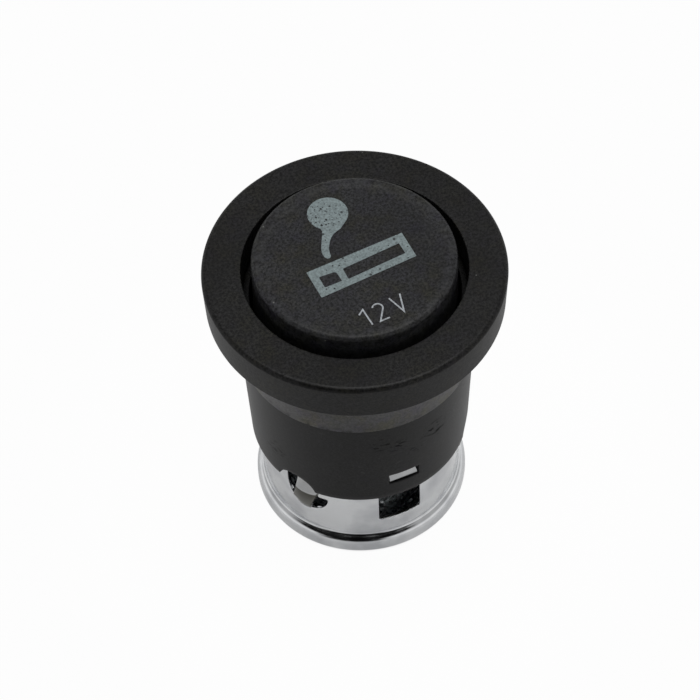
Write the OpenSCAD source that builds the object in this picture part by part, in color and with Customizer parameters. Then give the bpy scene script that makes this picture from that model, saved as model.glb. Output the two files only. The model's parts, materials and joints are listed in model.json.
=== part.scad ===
// Push-in car cigarette lighter for a 12 volt dashboard socket, in millimetres.
// Z runs up the lighter's axis, and z = 0 is the mouth of the shell that it stands on.
// The sleeve (ring, barrel, shell, bush) stays in the socket. The plunger (button, stem,
// heating cup) is pushed down into it by the stroke, and the return spring lifts it again.

/* [Ring] */
// Largest radius of the ring
ring_r = 14.6; // [13.6:0.1:16]
// How much the ring narrows down to its lower edge
ring_taper = 0.25; // [0.1:0.05:0.8]
// Thickness of the ring
ring_t = 4.4; // [3.4:0.1:5.4]
// Radius of the ring's rounded upper edge
ring_edge_r = 0.5; // [0.2:0.05:0.9]
// Radius of the ring's rounded lower edge
ring_low_edge_r = 0.25; // [0.1:0.05:0.5]
// Depth of the well round the button
well_depth = 3.6; // [2.4:0.1:4]
// Height of the smooth collar under the ring
collar_h = 6.6; // [5:0.1:7.4]
// How far the collar's lower edge stands out from the barrel
collar_proud = 0.1; // [0.05:0.05:0.4]
// How much the collar widens up to the ring
collar_flare = 0.1; // [0:0.05:0.4]

/* [Barrel] */
// Wall of the barrel where it meets the collar
barrel_wall = 1.2; // [1:0.05:1.6]
// Wall of the barrel at its lower edge
barrel_low_wall = 0.92; // [0.8:0.01:1.2]
// Wall of the spigot by which the barrel enters the ring
spigot_wall = 0.67; // [0.6:0.01:0.9]
// How far the barrel laps down over the shell
barrel_lap = 5.4; // [4.8:0.1:6.4]
// Thickness of the lip that the shell's top butts against
lip_t = 0.7; // [0.5:0.1:1]
// How far that lip reaches over the shell's top
lip_w = 0.8; // [0.5:0.1:1.1]
// Width of the windows for the latch tabs
window_w = 3.1; // [2.4:0.1:3.8]
// Height of the windows
window_h = 1.4; // [1:0.1:1.6]
// Drop from the shell's top to the windows' lower edge
window_drop = 3.1; // [2.9:0.1:3.4]
// Width of the arches over the spring bows
arch_w = 4.3; // [3.8:0.05:4.6]
// Height of the arches
arch_h = 1.7; // [1.3:0.05:1.9]

/* [Guide ribs] */
// Number of guide ribs that stop the button from turning
rib_count = 3; // [2:1:6]
// Width of a guide rib
rib_w = 2; // [1.2:0.1:2.6]
// How far a rib stands in from the bore
rib_h = 0.55; // [0.4:0.05:0.7]
// Length of rib that stays in the button's groove at rest
rib_engage = 2; // [1:0.1:2.4]

/* [Shell] */
// Outer radius of the shell's neck
shell_r = 9.7; // [9.5:0.05:9.9]
// Thickness of the sheet steel
sheet_t = 0.4; // [0.3:0.05:0.5]
// Height of the shell
shell_h = 15; // [14.8:0.1:15.6]
// Radius of the shell's rounded top edge
shell_edge_r = 0.8; // [0.6:0.1:0.9]
// How far the bead, which slides in the socket, stands out from the neck
bead_proud = 0.7; // [0.5:0.05:0.85]
// Radius of the bead's curl
curl_r = 0.9; // [0.7:0.05:1]
// Height of the bead's straight land
land_h = 0.6; // [0.4:0.1:1]
// Radius of the hollow between the bead and the neck
neck_fillet_r = 0.35; // [0.2:0.05:0.6]
// Width of the flange that the bead turns in to at the mouth
mouth_flange_w = 1.9; // [1.5:0.1:2.3]
// Gap between the spring and the wall of its well
spring_well_gap = 1.15; // [0.8:0.05:1.6]
// Depth of the spring well
spring_well_depth = 2.6; // [2.2:0.1:3]
// Radius inside the bends of the spring well
well_bend_r = 0.3; // [0.2:0.05:0.4]

/* [Latch tabs and spring bows] */
// Number of latch tabs, and of spring bows between them
station_count = 3; // [2:1:3]
// Width of the cut-outs under the latch tabs
cutout_w = 4.45; // [3.8:0.05:5]
// Height of the cut-outs
cutout_h = 9.2; // [8.4:0.1:9.6]
// Gap left between a window's side and the tab in it
tab_side_gap = 0.15; // [0.1:0.05:0.3]
// Gap left under the tab's free end
tab_end_gap = 0.15; // [0.05:0.05:0.3]
// Angle at which the tab's free end is bent out
tab_angle = 36; // [28:1:38]
// Length of tab between the cut-out's top and its bend
tab_root = 0.5; // [0.3:0.1:0.6]
// Width of the oval holes
oval_w = 4.7; // [4.3:0.05:5.2]
// Drop from the barrel's lower edge to the oval holes' lowest point
oval_drop = 4.7; // [4.2:0.1:5.2]
// Length of the oval holes
oval_len = 6.4; // [6:0.1:6.8]
// Width of a spring bow
bow_w = 2.4; // [1.8:0.1:2.8]
// Length of a spring bow between its roots
bow_len = 5.2; // [4.8:0.1:5.4]
// How far a spring bow bulges past the neck
bow_bulge = 0.75; // [0.5:0.05:0.9]

/* [Button] */
// Radius of the button
button_r = 9.8; // [9.6:0.05:9.95]
// Height of the button's side
button_h = 13; // [12:0.1:14]
// How far the button stands above the ring
button_proud = 1.6; // [1:0.1:3]
// Radius of the button's rounded edge
button_edge_r = 0.5; // [0.3:0.05:0.8]
// Thickness of the button's top
button_top_t = 1.6; // [1.2:0.1:2.2]
// Thickness of the button's side
button_wall = 1.3; // [1.2:0.05:1.5]
// Width of the raised rim round the button's face
face_rim_w = 0.85; // [0.6:0.05:1.4]
// Depth of the face below that rim
face_depth = 0.15; // [0.05:0.05:0.3]
// How far the button is pushed in
stroke = 5.5; // [4.5:0.1:5.8]
// Gap left between the pushed button and the lip
stop_gap = 0.2; // [0.1:0.05:0.4]

/* [Button core] */
// Wall of the core
core_wall = 1.15; // [0.9:0.05:1.3]
// How far the core's wall stays above the button's lower edge
core_inset = 0.6; // [0.3:0.1:1.2]
// Height from the core's deck to the button's ceiling
deck_drop = 5.4; // [4.8:0.1:6]
// Thickness of the core's deck
deck_t = 1.2; // [1:0.1:1.6]
// Number of stiffening ribs over the deck
web_count = 6; // [4:1:8]
// Thickness of a stiffening rib
web_t = 1; // [0.8:0.1:1.4]
// Wall of the core's central boss
boss_wall = 0.77; // [0.6:0.01:1]
// Length of the boss below the deck
boss_len = 3.4; // [2.8:0.1:4]
// Wall of the threaded insert
insert_wall = 0.87; // [0.6:0.01:1]
// Length of the threaded insert
insert_len = 6.5; // [5.5:0.1:7]
// Section radius of the rings that snap the plastic pieces together
snap_r = 0.3; // [0.2:0.05:0.4]
// How far a snap ring stands out
snap_proud = 0.15; // [0.1:0.05:0.2]
// Height of the core's snap ring above the core's edge
snap_rise = 1.2; // [0.8:0.1:2]

/* [Stem] */
// Radius of the stem in its bush
stem_r = 2.5; // [2.3:0.05:2.55]
// Radius of the stem's threaded end
thread_r = 2; // [1.8:0.05:2.1]
// Radius of the stem's tail
tail_r = 1.5; // [1.4:0.05:1.6]
// Radius of the rivet's shank
shank_r = 0.75; // [0.6:0.05:0.85]
// Thickness of the lock washer
lock_t = 0.5; // [0.3:0.1:0.8]
// How far the lock washer stays inside the boss's edge
lock_inset = 0.1; // [0:0.05:0.4]
// How far the stem's thread stops short of the insert's end
thread_inset = 0.8; // [0.4:0.1:1.2]
// Wall of the guide bush
bush_wall = 0.75; // [0.6:0.05:0.8]
// Length of the guide bush
bush_len = 2.4; // [1.8:0.1:3]
// Thickness of the bush's flange
bush_flange_t = 0.5; // [0.3:0.05:0.7]
// How far the bush's flange stands out
bush_flange_w = 0.55; // [0.4:0.05:0.6]

/* [Return spring] */
// Diameter of the spring wire
wire_d = 0.8; // [0.6:0.05:0.9]
// Gap between the boss and the spring round it
spring_boss_gap = 0.55; // [0.4:0.05:0.8]
// Number of working turns
spring_turns = 6; // [5:1:7]
// Number of closed turns at each end
end_turns = 1; // [1:1:2]
// Gap between the closed turns
end_gap = 0.016; // [0.01:0.002:0.03]
// Thickness of the upper spring seat
seat_t = 0.4; // [0.3:0.05:0.6]
// Gap between the upper spring seat and the core's wall
seat_gap = 0.92; // [0.6:0.01:1.4]

/* [Heating element] */
// Thickness of the stop buffer
buffer_t = 0.5; // [0.3:0.05:0.7]
// Thickness of the stop washer
stop_t = 0.5; // [0.3:0.05:0.7]
// Radius of the stop washer and its buffer
stop_r = 5; // [4.6:0.1:5.3]
// Thickness of the upper insulator
upper_insulator_t = 1.6; // [1.3:0.1:1.9]
// How far the upper insulator stays inside the mica's edge
upper_insulator_inset = 0.5; // [0.2:0.1:1]
// Thickness of a mica washer
mica_t = 0.2; // [0.15:0.05:0.3]
// How far a mica washer stays inside the lower insulator's edge
mica_inset = 0.2; // [0:0.05:0.5]
// Gap between the mouth and the heating cup that comes out of it
cup_gap = 1.2; // [0.9:0.05:1.5]
// Thickness of the cup's wall
cup_t = 0.35; // [0.25:0.05:0.45]
// Height of the heating cup
cup_h = 7.6; // [6.6:0.1:7.9]
// Radius of the cup's rounded shoulder
cup_edge_r = 0.8; // [0.6:0.1:0.9]
// Radius of the rolled lip round the cup's mouth
cup_lip_r = 0.35; // [0.25:0.05:0.45]
// Thickness of the lower insulator
lower_insulator_t = 1.3; // [1:0.1:1.5]
// Gap between the lower insulator and the cup's wall
insulator_gap = 0.85; // [0.6:0.05:1.2]
// Wall of the neck by which it passes through the cup
insulator_neck_wall = 0.77; // [0.6:0.01:1]
// How far that neck enters the upper insulator
neck_engage = 0.6; // [0.4:0.1:0.8]
// Thickness of the contact washer
contact_t = 0.4; // [0.3:0.05:0.5]
// How far the contact washer stands out past the post
contact_proud = 1.2; // [0.8:0.1:1.6]
// Radius of the rivet's post, which the coil starts from
post_r = 1.2; // [1:0.05:1.4]
// Length of the rivet's post
post_len = 2; // [1.8:0.1:2.3]
// Length of the rivet's shank
shank_len = 2.6; // [2:0.1:3]
// Number of turns of the heating ribbon
coil_turns = 5; // [4:1:6]
// Thickness of the heating ribbon
ribbon_t = 0.25; // [0.2:0.05:0.3]
// Height of the heating ribbon
ribbon_h = 2.1; // [1.8:0.1:2.3]

/* [Clearances] */
// Gap round pieces that are pressed together
press_gap = 0.03; // [0.02:0.01:0.05]
// Running clearance of the stem in its bush
run_gap = 0.06; // [0.03:0.01:0.09]
// Gap round pieces that move past each other
slide_gap = 0.3; // [0.25:0.05:0.35]
// Gap left at the upper stop
rest_gap = 0.05; // [0.02:0.01:0.1]

/* [Hidden] */
$fn = 96;
// Overshoot of a cutting shape past the surface that it cuts
over = 1;

// Directions of the latch tabs and of the spring bows, as polar angles
station_step = 360 / station_count;
tab_angles = [for (i = [0 : station_count - 1]) -90 + i * station_step];
bow_angles = [for (i = [0 : station_count - 1]) -90 + (i + 0.5) * station_step];
rib_angles = [for (i = [0 : rib_count - 1]) 90 + i * 360 / rib_count];

// Heights of the sleeve and the button, stacked up from the shell
lip_top_z = shell_h + lip_t;
button_z = lip_top_z + stroke + stop_gap;
button_top_z = button_z + button_h;
ring_top_z = button_top_z - button_proud;
ring_z = ring_top_z - ring_t;
collar_z = ring_z - collar_h;
well_floor_z = ring_top_z - well_depth;
barrel_z = shell_h - barrel_lap;
window_z = shell_h - window_drop;
barrel_snap_z = (collar_z + well_floor_z) / 2;

// Radii of the sleeve, built out from the button and from the shell
bore_r = button_r + slide_gap;
spigot_r = bore_r + spigot_wall;
hole_r = spigot_r + press_gap;
barrel_r = bore_r + barrel_wall;
collar_low_r = barrel_r + collar_proud;
collar_r = collar_low_r + collar_flare;
ring_low_r = ring_r - ring_taper;
shell_seat_r = shell_r + press_gap;
barrel_low_r = shell_seat_r + barrel_low_wall;
lip_r = shell_r - lip_w;

// Bead of the shell: the curl and the hollow above it touch, which sets their places
bead_r = shell_r + bead_proud;
mouth_r = bead_r - mouth_flange_w;
curl_c_r = bead_r - curl_r;
hollow_c_r = shell_r + neck_fillet_r;
curl_top_z = curl_r + land_h;
hollow_rise = sqrt(pow(curl_r + neck_fillet_r, 2) - pow(hollow_c_r - curl_c_r, 2));
neck_z = curl_top_z + hollow_rise;
curl_end_a = atan2(hollow_rise, hollow_c_r - curl_c_r);

// Latch tab
tab_w = window_w - 2 * tab_side_gap;
tab_bend_z = window_z + window_h;
tab_top_z = tab_bend_z + tab_root;
tab_drop = window_h - tab_end_gap;
cutout_z = tab_top_z - cutout_h;

// Bow: the ball shell that its bulge is cut from
oval_z = barrel_z - oval_drop;
bow_mid_z = oval_z + bow_len / 2;
ball_r = (pow(bow_len / 2, 2) + pow(bow_bulge, 2)) / (2 * bow_bulge);
ball_c_r = shell_r + bow_bulge - ball_r;

// Button and its core
ceiling_z = button_top_z - button_top_t;
button_in_r = button_r - button_wall;
groove_top_z = button_z + rib_engage + stroke + slide_gap;
core_r = button_in_r - press_gap;
core_z = button_z + core_inset;
deck_z = ceiling_z - deck_drop;
boss_z = deck_z - boss_len;
insert_r = thread_r + press_gap + insert_wall;
boss_r = insert_r + press_gap + boss_wall;
button_snap_z = core_z + snap_rise;

// Return spring and its well in the shell's top
spring_r = boss_r + spring_boss_gap + wire_d / 2;
spring_well_r = spring_r + wire_d / 2 + spring_well_gap;
spring_floor_z = shell_h - spring_well_depth;
spring_floor_low_z = spring_floor_z - sheet_t;
seat_r = core_r - core_wall - seat_gap;
seat_z = deck_z - seat_t;
spring_len = seat_z - spring_floor_z;

// Heights of the heating element, counted down from the upper stop
buffer_top_z = spring_floor_low_z - rest_gap;
stop_top_z = buffer_top_z - buffer_t;
upper_insulator_top_z = stop_top_z - stop_t;
upper_insulator_z = upper_insulator_top_z - upper_insulator_t;
cup_top_z = upper_insulator_z - mica_t;
cup_z = cup_top_z - cup_h;
lower_mica_z = cup_top_z - cup_t - mica_t;
lower_insulator_z = lower_mica_z - lower_insulator_t;
contact_z = lower_insulator_z - contact_t;
post_z = contact_z - post_len;
coil_z = contact_z - ribbon_h - ribbon_t;

// Radii of the heating element, taken in from the mouth and out from the stem
cup_r = mouth_r - cup_gap;
cup_in_r = cup_r - cup_t;
lower_insulator_r = cup_in_r - insulator_gap;
mica_r = lower_insulator_r - mica_inset;
upper_insulator_r = mica_r - upper_insulator_inset;
insulator_neck_r = tail_r + press_gap + insulator_neck_wall;
neck_bore_r = insulator_neck_r + press_gap;
tail_bore_r = tail_r + press_gap;
contact_r = post_r + contact_proud;

// Stem
stem_shoulder_z = boss_z - lock_t;
thread_end_z = boss_z + insert_len - thread_inset;
lock_r = boss_r - lock_inset;
bush_r = stem_r + run_gap + bush_wall;

// A bend of sheet between two radii, from angle a0 to angle a1
module bend(outer_r, inner_r, a0, a1) {
    reach = 2 * outer_r;
    mid = (a0 + a1) / 2;
    intersection() {
        difference() {
            circle(outer_r);
            circle(inner_r);
        }
        polygon([
            [0, 0],
            reach * [cos(a0), sin(a0)],
            reach * 1.5 * [cos(mid), sin(mid)],
            reach * [cos(a1), sin(a1)]
        ]);
    }
}

// What is cut off a square corner at the origin, lying below and left of it, to round it
module corner_cut(r) {
    difference() {
        translate([-r, -r]) square(r + over);
        translate([-r, -r]) circle(r);
    }
}

module ring_of(outer_r, inner_r, z, h) {
    translate([0, 0, z]) difference() {
        cylinder(h = h, r = outer_r);
        translate([0, 0, -over]) cylinder(h = h + 2 * over, r = inner_r);
    }
}

// A block that cuts through a wall in the direction a, standing on height z
module wall_cut(a, w, z, h, r0, r1) {
    rotate([0, 0, a]) translate([r0, -w / 2, z]) cube([r1 - r0, w, h]);
}

// A slot with round ends that cuts through a wall in the direction a
module slot_cut(a, w, z, h, r0, r1) {
    rotate([0, 0, a]) translate([r0, 0, z]) rotate([90, 0, 90]) linear_extrude(r1 - r0) {
        translate([0, w / 2]) circle(w / 2);
        translate([-w / 2, w / 2]) square([w, h - w]);
        translate([0, h - w / 2]) circle(w / 2);
    }
}

// A thin ring that snaps into a matching groove
module snap_ring(r, z, gap) {
    rotate_extrude() translate([r - snap_r + snap_proud, z]) circle(snap_r + gap);
}

module bezel_ring() {
    color("#2b2a29") difference() {
        rotate_extrude() difference() {
            polygon([
                [hole_r, ring_top_z], [ring_r, ring_top_z], [ring_low_r, ring_z],
                [collar_r, ring_z], [collar_low_r, collar_z], [hole_r, collar_z]
            ]);
            translate([ring_r, ring_top_z]) corner_cut(ring_edge_r);
            translate([ring_low_r, ring_z]) mirror([0, 1]) corner_cut(ring_low_edge_r);
        }
        snap_ring(spigot_r, barrel_snap_z, press_gap);
    }
}

module barrel_body() {
    rotate_extrude() polygon([
        [shell_seat_r, barrel_z], [barrel_low_r, barrel_z], [barrel_r, collar_z],
        [spigot_r, collar_z], [spigot_r, well_floor_z], [bore_r, well_floor_z],
        [bore_r, lip_top_z], [lip_r, lip_top_z], [lip_r, shell_h], [shell_seat_r, shell_h]
    ]);
}

module barrel() {
    arch_r = (pow(arch_w / 2, 2) + pow(arch_h, 2)) / (2 * arch_h);
    color("#242324") difference() {
        union() {
            barrel_body();
            snap_ring(spigot_r, barrel_snap_z, 0);
            for (a = rib_angles) intersection() {
                wall_cut(a, rib_w, lip_top_z, button_z + rib_engage - lip_top_z,
                    bore_r - rib_h, bore_r + rib_h);
                cylinder(h = ring_top_z, r = bore_r + rib_h / 2);
            }
        }
        for (a = tab_angles) wall_cut(a, window_w, window_z, window_h, shell_r - over, ring_r);
        for (a = bow_angles) rotate([0, 0, a])
            translate([shell_r - over, 0, barrel_z + arch_h - arch_r]) rotate([0, 90, 0])
            cylinder(h = ring_r, r = arch_r);
    }
}

module shell_profile() {
    plate_z = shell_h - sheet_t;
    well_out_r = spring_well_r + sheet_t;
    bend_out_r = well_bend_r + sheet_t;
    translate([mouth_r, 0]) square([curl_c_r - mouth_r, sheet_t]);
    translate([curl_c_r, curl_r]) bend(curl_r, curl_r - sheet_t, -90, 0);
    translate([bead_r - sheet_t, curl_r]) square([sheet_t, land_h]);
    translate([curl_c_r, curl_top_z]) bend(curl_r, curl_r - sheet_t, 0, curl_end_a);
    translate([hollow_c_r, neck_z])
        bend(neck_fillet_r + sheet_t, neck_fillet_r, 180, 180 + curl_end_a);
    translate([shell_r - sheet_t, neck_z]) square([sheet_t, shell_h - shell_edge_r - neck_z]);
    translate([shell_r - shell_edge_r, shell_h - shell_edge_r])
        bend(shell_edge_r, shell_edge_r - sheet_t, 0, 90);
    translate([well_out_r + well_bend_r, plate_z])
        square([shell_r - shell_edge_r - well_out_r - well_bend_r, sheet_t]);
    translate([well_out_r + well_bend_r, plate_z - well_bend_r]) bend(bend_out_r, well_bend_r, 90, 180);
    translate([spring_well_r, spring_floor_z + well_bend_r])
        square([sheet_t, plate_z - spring_floor_z - 2 * well_bend_r]);
    translate([spring_well_r - well_bend_r, spring_floor_z + well_bend_r])
        bend(bend_out_r, well_bend_r, -90, 0);
    translate([bush_r + press_gap, spring_floor_low_z])
        square([spring_well_r - well_bend_r - bush_r - press_gap, sheet_t]);
}

// Spring bow: a strip of a ball shell that bulges out of its oval hole, rooted at both ends
module bow(a) {
    root = sheet_t / 2;
    intersection() {
        rotate([0, 0, a]) translate([ball_c_r, 0, bow_mid_z]) difference() {
            sphere(ball_r);
            sphere(ball_r - sheet_t);
        }
        wall_cut(a, bow_w, oval_z - root, bow_len + 2 * root, shell_r - over, bead_r + over);
    }
}

// Latch tab: it hangs from the cut-out's top, and its free end is bent out into the window
module tab(a) {
    inner = shell_r - sheet_t;
    reach = tab_drop * tan(tab_angle);
    outer_bend_z = tab_bend_z + sheet_t * tan(tab_angle / 2);
    rotate([0, 0, a]) translate([0, tab_w / 2, 0]) rotate([90, 0, 0]) linear_extrude(tab_w) polygon([
        [inner, tab_top_z + sheet_t], [inner, tab_bend_z], [inner + reach, tab_bend_z - tab_drop],
        [inner + reach + sheet_t / cos(tab_angle), tab_bend_z - tab_drop], [shell_r, outer_bend_z],
        [shell_r, tab_top_z + sheet_t]
    ]);
}

module shell() {
    inside_r = shell_r - sheet_t - over;
    color("#c9ccd1") {
        difference() {
            rotate_extrude() shell_profile();
            for (a = tab_angles) wall_cut(a, cutout_w, cutout_z, cutout_h, inside_r, bead_r + over);
            for (a = bow_angles) difference() {
                slot_cut(a, oval_w, oval_z, oval_len, inside_r, bead_r + over);
                wall_cut(a, bow_w, oval_z + bow_len, oval_len, inside_r - over, bead_r + 2 * over);
            }
        }
        for (a = bow_angles) bow(a);
        for (a = tab_angles) tab(a);
    }
}

module guide_bush() {
    color("#b8964a") rotate_extrude() difference() {
        union() {
            translate([stem_r + run_gap, spring_floor_low_z]) square([bush_wall, bush_len]);
            translate([stem_r + run_gap, spring_floor_z])
                square([bush_wall + bush_flange_w, bush_flange_t]);
        }
        translate([bush_r, spring_floor_low_z + bush_len]) corner_cut(bush_wall / 3);
    }
}

// Return spring: closed end turns and open working turns, swept as one tube
module return_spring() {
    sides = 8;
    steps = 20;
    total = spring_turns + 2 * end_turns;
    closed_pitch = wire_d + end_gap;
    end_len = end_turns * closed_pitch;
    open_pitch = (spring_len - wire_d - 2 * end_len) / spring_turns;
    function rise(t) = t < end_turns ? t * closed_pitch
        : t < total - end_turns ? end_len + (t - end_turns) * open_pitch
        : end_len + spring_turns * open_pitch + (t - total + end_turns) * closed_pitch;
    function ring_point(t, k) =
        let (a = 360 * t, b = 360 * k / sides, r = spring_r + wire_d / 2 * cos(b))
        [r * cos(a), r * sin(a), spring_floor_z + wire_d / 2 * (1 + sin(b)) + rise(t)];
    rings = total * steps;
    points = [for (i = [0 : rings]) for (k = [0 : sides - 1]) ring_point(i / steps, k)];
    quads = [for (i = [0 : rings - 1]) for (k = [0 : sides - 1])
        [i * sides + k, (i + 1) * sides + k,
         (i + 1) * sides + (k + 1) % sides, i * sides + (k + 1) % sides]];
    first = [for (k = [0 : sides - 1]) k];
    last = [for (k = [sides - 1 : -1 : 0]) rings * sides + k];
    color("#8f9296") polyhedron(points, concat([first], quads, [last]));
}

module button_cap() {
    color("#2a2a2b") difference() {
        rotate_extrude() difference() {
            polygon([
                [0, button_top_z - face_depth],
                [button_r - button_edge_r - face_rim_w, button_top_z - face_depth],
                [button_r - button_edge_r - face_rim_w / 2, button_top_z],
                [button_r, button_top_z], [button_r, button_z], [button_in_r, button_z],
                [button_in_r, ceiling_z], [0, ceiling_z]
            ]);
            translate([button_r, button_top_z]) corner_cut(button_edge_r);
        }
        for (a = rib_angles)
            wall_cut(a, rib_w + 2 * slide_gap, button_z - over, groove_top_z - button_z + over,
                bore_r - rib_h - slide_gap, bore_r + over);
        snap_ring(core_r, button_snap_z, press_gap);
    }
}

module button_core() {
    color("#3a3330") {
        difference() {
            rotate_extrude() union() {
                translate([core_r - core_wall, core_z]) square([core_wall, ceiling_z - core_z]);
                translate([boss_r / 2, deck_z]) square([core_r - core_wall / 2 - boss_r / 2, deck_t]);
                translate([0, boss_z]) square([boss_r, ceiling_z - boss_z]);
            }
            translate([0, 0, boss_z - over]) cylinder(h = insert_len + over, r = insert_r + press_gap);
        }
        snap_ring_on_core();
        for (i = [0 : web_count - 1]) rotate([0, 0, i * 360 / web_count])
            translate([boss_r - web_t / 2, -web_t / 2, deck_z + deck_t / 2])
            cube([core_r - core_wall / 2 - boss_r + web_t / 2, web_t, ceiling_z - deck_z - deck_t / 2]);
    }
}

module snap_ring_on_core() {
    difference() {
        snap_ring(core_r, button_snap_z, 0);
        cylinder(h = ring_top_z, r = core_r - core_wall / 2);
    }
}

module core_insert() {
    groove = insert_r / 10;
    color("#b8964a") difference() {
        ring_of(insert_r, thread_r + press_gap, boss_z, insert_len);
        for (i = [1 : 2]) translate([0, 0, boss_z + i * insert_len / 3])
            rotate_extrude() translate([insert_r, 0]) circle(groove);
    }
}

module lock_washer() {
    color("#9a9ca0") ring_of(lock_r, thread_r + press_gap, stem_shoulder_z, lock_t);
}

module stem() {
    chamfer = thread_r / 5;
    color("#a9acb0") difference() {
        rotate_extrude() polygon([
            [0, lower_insulator_z], [tail_r, lower_insulator_z], [tail_r, stop_top_z - stop_t / 2],
            [tail_r, stop_top_z], [stem_r, stop_top_z], [stem_r, stem_shoulder_z],
            [thread_r, stem_shoulder_z], [thread_r, thread_end_z - chamfer],
            [thread_r - chamfer, thread_end_z], [0, thread_end_z]
        ]);
        translate([0, 0, lower_insulator_z - over])
            cylinder(h = shank_len + over, r = shank_r + press_gap);
    }
}

module spring_seat() {
    color("#9a9ca0") ring_of(seat_r, boss_r + press_gap, seat_z, seat_t);
}

module stop_buffer() {
    color("#4a2f2a") ring_of(stop_r, stem_r + press_gap, stop_top_z, buffer_t);
}

module stop_washer() {
    color("#9a9ca0") ring_of(stop_r, tail_bore_r, upper_insulator_top_z, stop_t);
}

module upper_insulator() {
    color("#e4ded0") difference() {
        ring_of(upper_insulator_r, tail_bore_r, upper_insulator_z, upper_insulator_t);
        translate([0, 0, upper_insulator_z - over])
            cylinder(h = neck_engage + press_gap + over, r = neck_bore_r);
    }
}

module upper_mica() {
    color("#b9a98a") ring_of(mica_r, neck_bore_r, cup_top_z, mica_t);
}

module heating_cup() {
    color("#8d8a86") rotate_extrude() {
        difference() {
            translate([neck_bore_r, cup_z]) square([cup_r - neck_bore_r, cup_h]);
            translate([cup_r, cup_top_z]) corner_cut(cup_edge_r);
            difference() {
                translate([0, cup_z - over]) square([cup_in_r, cup_h - cup_t + over]);
                translate([cup_in_r, cup_top_z - cup_t]) corner_cut(cup_edge_r - cup_t);
            }
        }
        translate([cup_r - cup_t / 2, cup_z + cup_lip_r]) circle(cup_lip_r);
    }
}

module lower_mica() {
    color("#b9a98a") ring_of(mica_r, neck_bore_r, lower_mica_z, mica_t);
}

module lower_insulator() {
    color("#e4ded0") difference() {
        union() {
            translate([0, 0, lower_insulator_z]) cylinder(h = lower_insulator_t, r = lower_insulator_r);
            translate([0, 0, lower_insulator_z])
                cylinder(h = upper_insulator_z + neck_engage - lower_insulator_z, r = insulator_neck_r);
        }
        translate([0, 0, lower_insulator_z - over])
            cylinder(h = cup_h + 2 * over, r = tail_bore_r);
    }
}

module contact_washer() {
    color("#b8964a") ring_of(contact_r, shank_r + press_gap, contact_z, contact_t);
}

// Heating ribbon: a spiral from the rivet's post to the cup's wall
module heating_coil() {
    step = 12;
    lead = 90;
    sweep = 360 * coil_turns;
    start_r = post_r + ribbon_t / 2 + press_gap;
    end_r = cup_in_r - ribbon_t / 2 - press_gap;
    pitch = (end_r - start_r) / (coil_turns + 1);
    function path_r(a) = start_r + pitch * a / 360
        + pitch * (min(a, lead) + max(0, a - sweep + lead)) / lead / 2;
    function at(a, side) = (path_r(a) + side * ribbon_t / 2) * [cos(a), sin(a)];
    outer = [for (a = [0 : step : sweep]) at(a, 1)];
    inner = [for (a = [sweep : -step : 0]) at(a, -1)];
    color("#6f625c") translate([0, 0, coil_z]) linear_extrude(ribbon_h) polygon(concat(outer, inner));
}

module coil_rivet() {
    dome = post_r / 3;
    color("#9a9ca0") rotate_extrude() difference() {
        polygon([
            [0, post_z], [post_r, post_z], [post_r, contact_z], [shank_r, contact_z],
            [shank_r, lower_insulator_z + shank_len - press_gap],
            [0, lower_insulator_z + shank_len - press_gap]
        ]);
        translate([post_r, post_z]) mirror([0, 1]) corner_cut(dome);
    }
}

bezel_ring();
barrel();
shell();
guide_bush();
return_spring();
button_cap();
button_core();
core_insert();
lock_washer();
stem();
spring_seat();
stop_buffer();
stop_washer();
upper_insulator();
upper_mica();
heating_cup();
lower_mica();
lower_insulator();
contact_washer();
heating_coil();
coil_rivet();
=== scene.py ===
"""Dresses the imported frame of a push-in car cigarette lighter.

Lengths are in metres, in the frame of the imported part: Z runs up the lighter's axis,
and Z = 0 is the mouth of the shell that it stands on.
"""
import json
from math import asin, atan2, cos, degrees, hypot, pi, radians, sin, sqrt, tan

import bmesh
import bpy
import numpy as np
from bpy.props import FloatProperty, FloatVectorProperty, IntProperty, PointerProperty
from mathutils import Matrix, Vector, geometry

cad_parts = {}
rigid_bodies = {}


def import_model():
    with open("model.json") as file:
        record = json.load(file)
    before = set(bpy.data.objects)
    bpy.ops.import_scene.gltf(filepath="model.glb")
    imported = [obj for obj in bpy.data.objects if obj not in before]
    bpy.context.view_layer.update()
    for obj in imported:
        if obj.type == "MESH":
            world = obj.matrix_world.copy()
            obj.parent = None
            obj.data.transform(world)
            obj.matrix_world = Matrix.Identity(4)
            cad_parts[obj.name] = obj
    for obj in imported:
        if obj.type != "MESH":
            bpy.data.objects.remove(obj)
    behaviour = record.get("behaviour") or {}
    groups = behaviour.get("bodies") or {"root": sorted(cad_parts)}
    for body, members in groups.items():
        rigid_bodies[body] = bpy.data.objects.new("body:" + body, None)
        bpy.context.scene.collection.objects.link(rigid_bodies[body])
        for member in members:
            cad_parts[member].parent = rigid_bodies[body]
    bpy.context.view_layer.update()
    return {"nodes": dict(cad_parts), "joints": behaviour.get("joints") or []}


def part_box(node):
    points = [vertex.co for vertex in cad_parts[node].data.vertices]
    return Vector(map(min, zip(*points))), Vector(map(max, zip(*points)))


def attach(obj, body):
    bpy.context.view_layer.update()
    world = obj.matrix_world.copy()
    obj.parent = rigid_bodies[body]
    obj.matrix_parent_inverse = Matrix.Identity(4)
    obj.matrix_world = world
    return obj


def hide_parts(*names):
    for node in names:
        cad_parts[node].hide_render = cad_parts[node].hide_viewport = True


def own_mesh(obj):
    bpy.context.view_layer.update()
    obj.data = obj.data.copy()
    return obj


bl_info = {
    "name": "Car cigarette lighter",
    "version": (1, 0, 0),
    "blender": (4, 5, 0),
    "location": "3D View > Sidebar > Lighter",
    "description": "Builds the finished look of a push-in car cigarette lighter on its packed frame",
    "category": "Add Mesh",
}

for leftover in list(bpy.data.objects):
    bpy.data.objects.remove(leftover)
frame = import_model()

MM = 0.001

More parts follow.
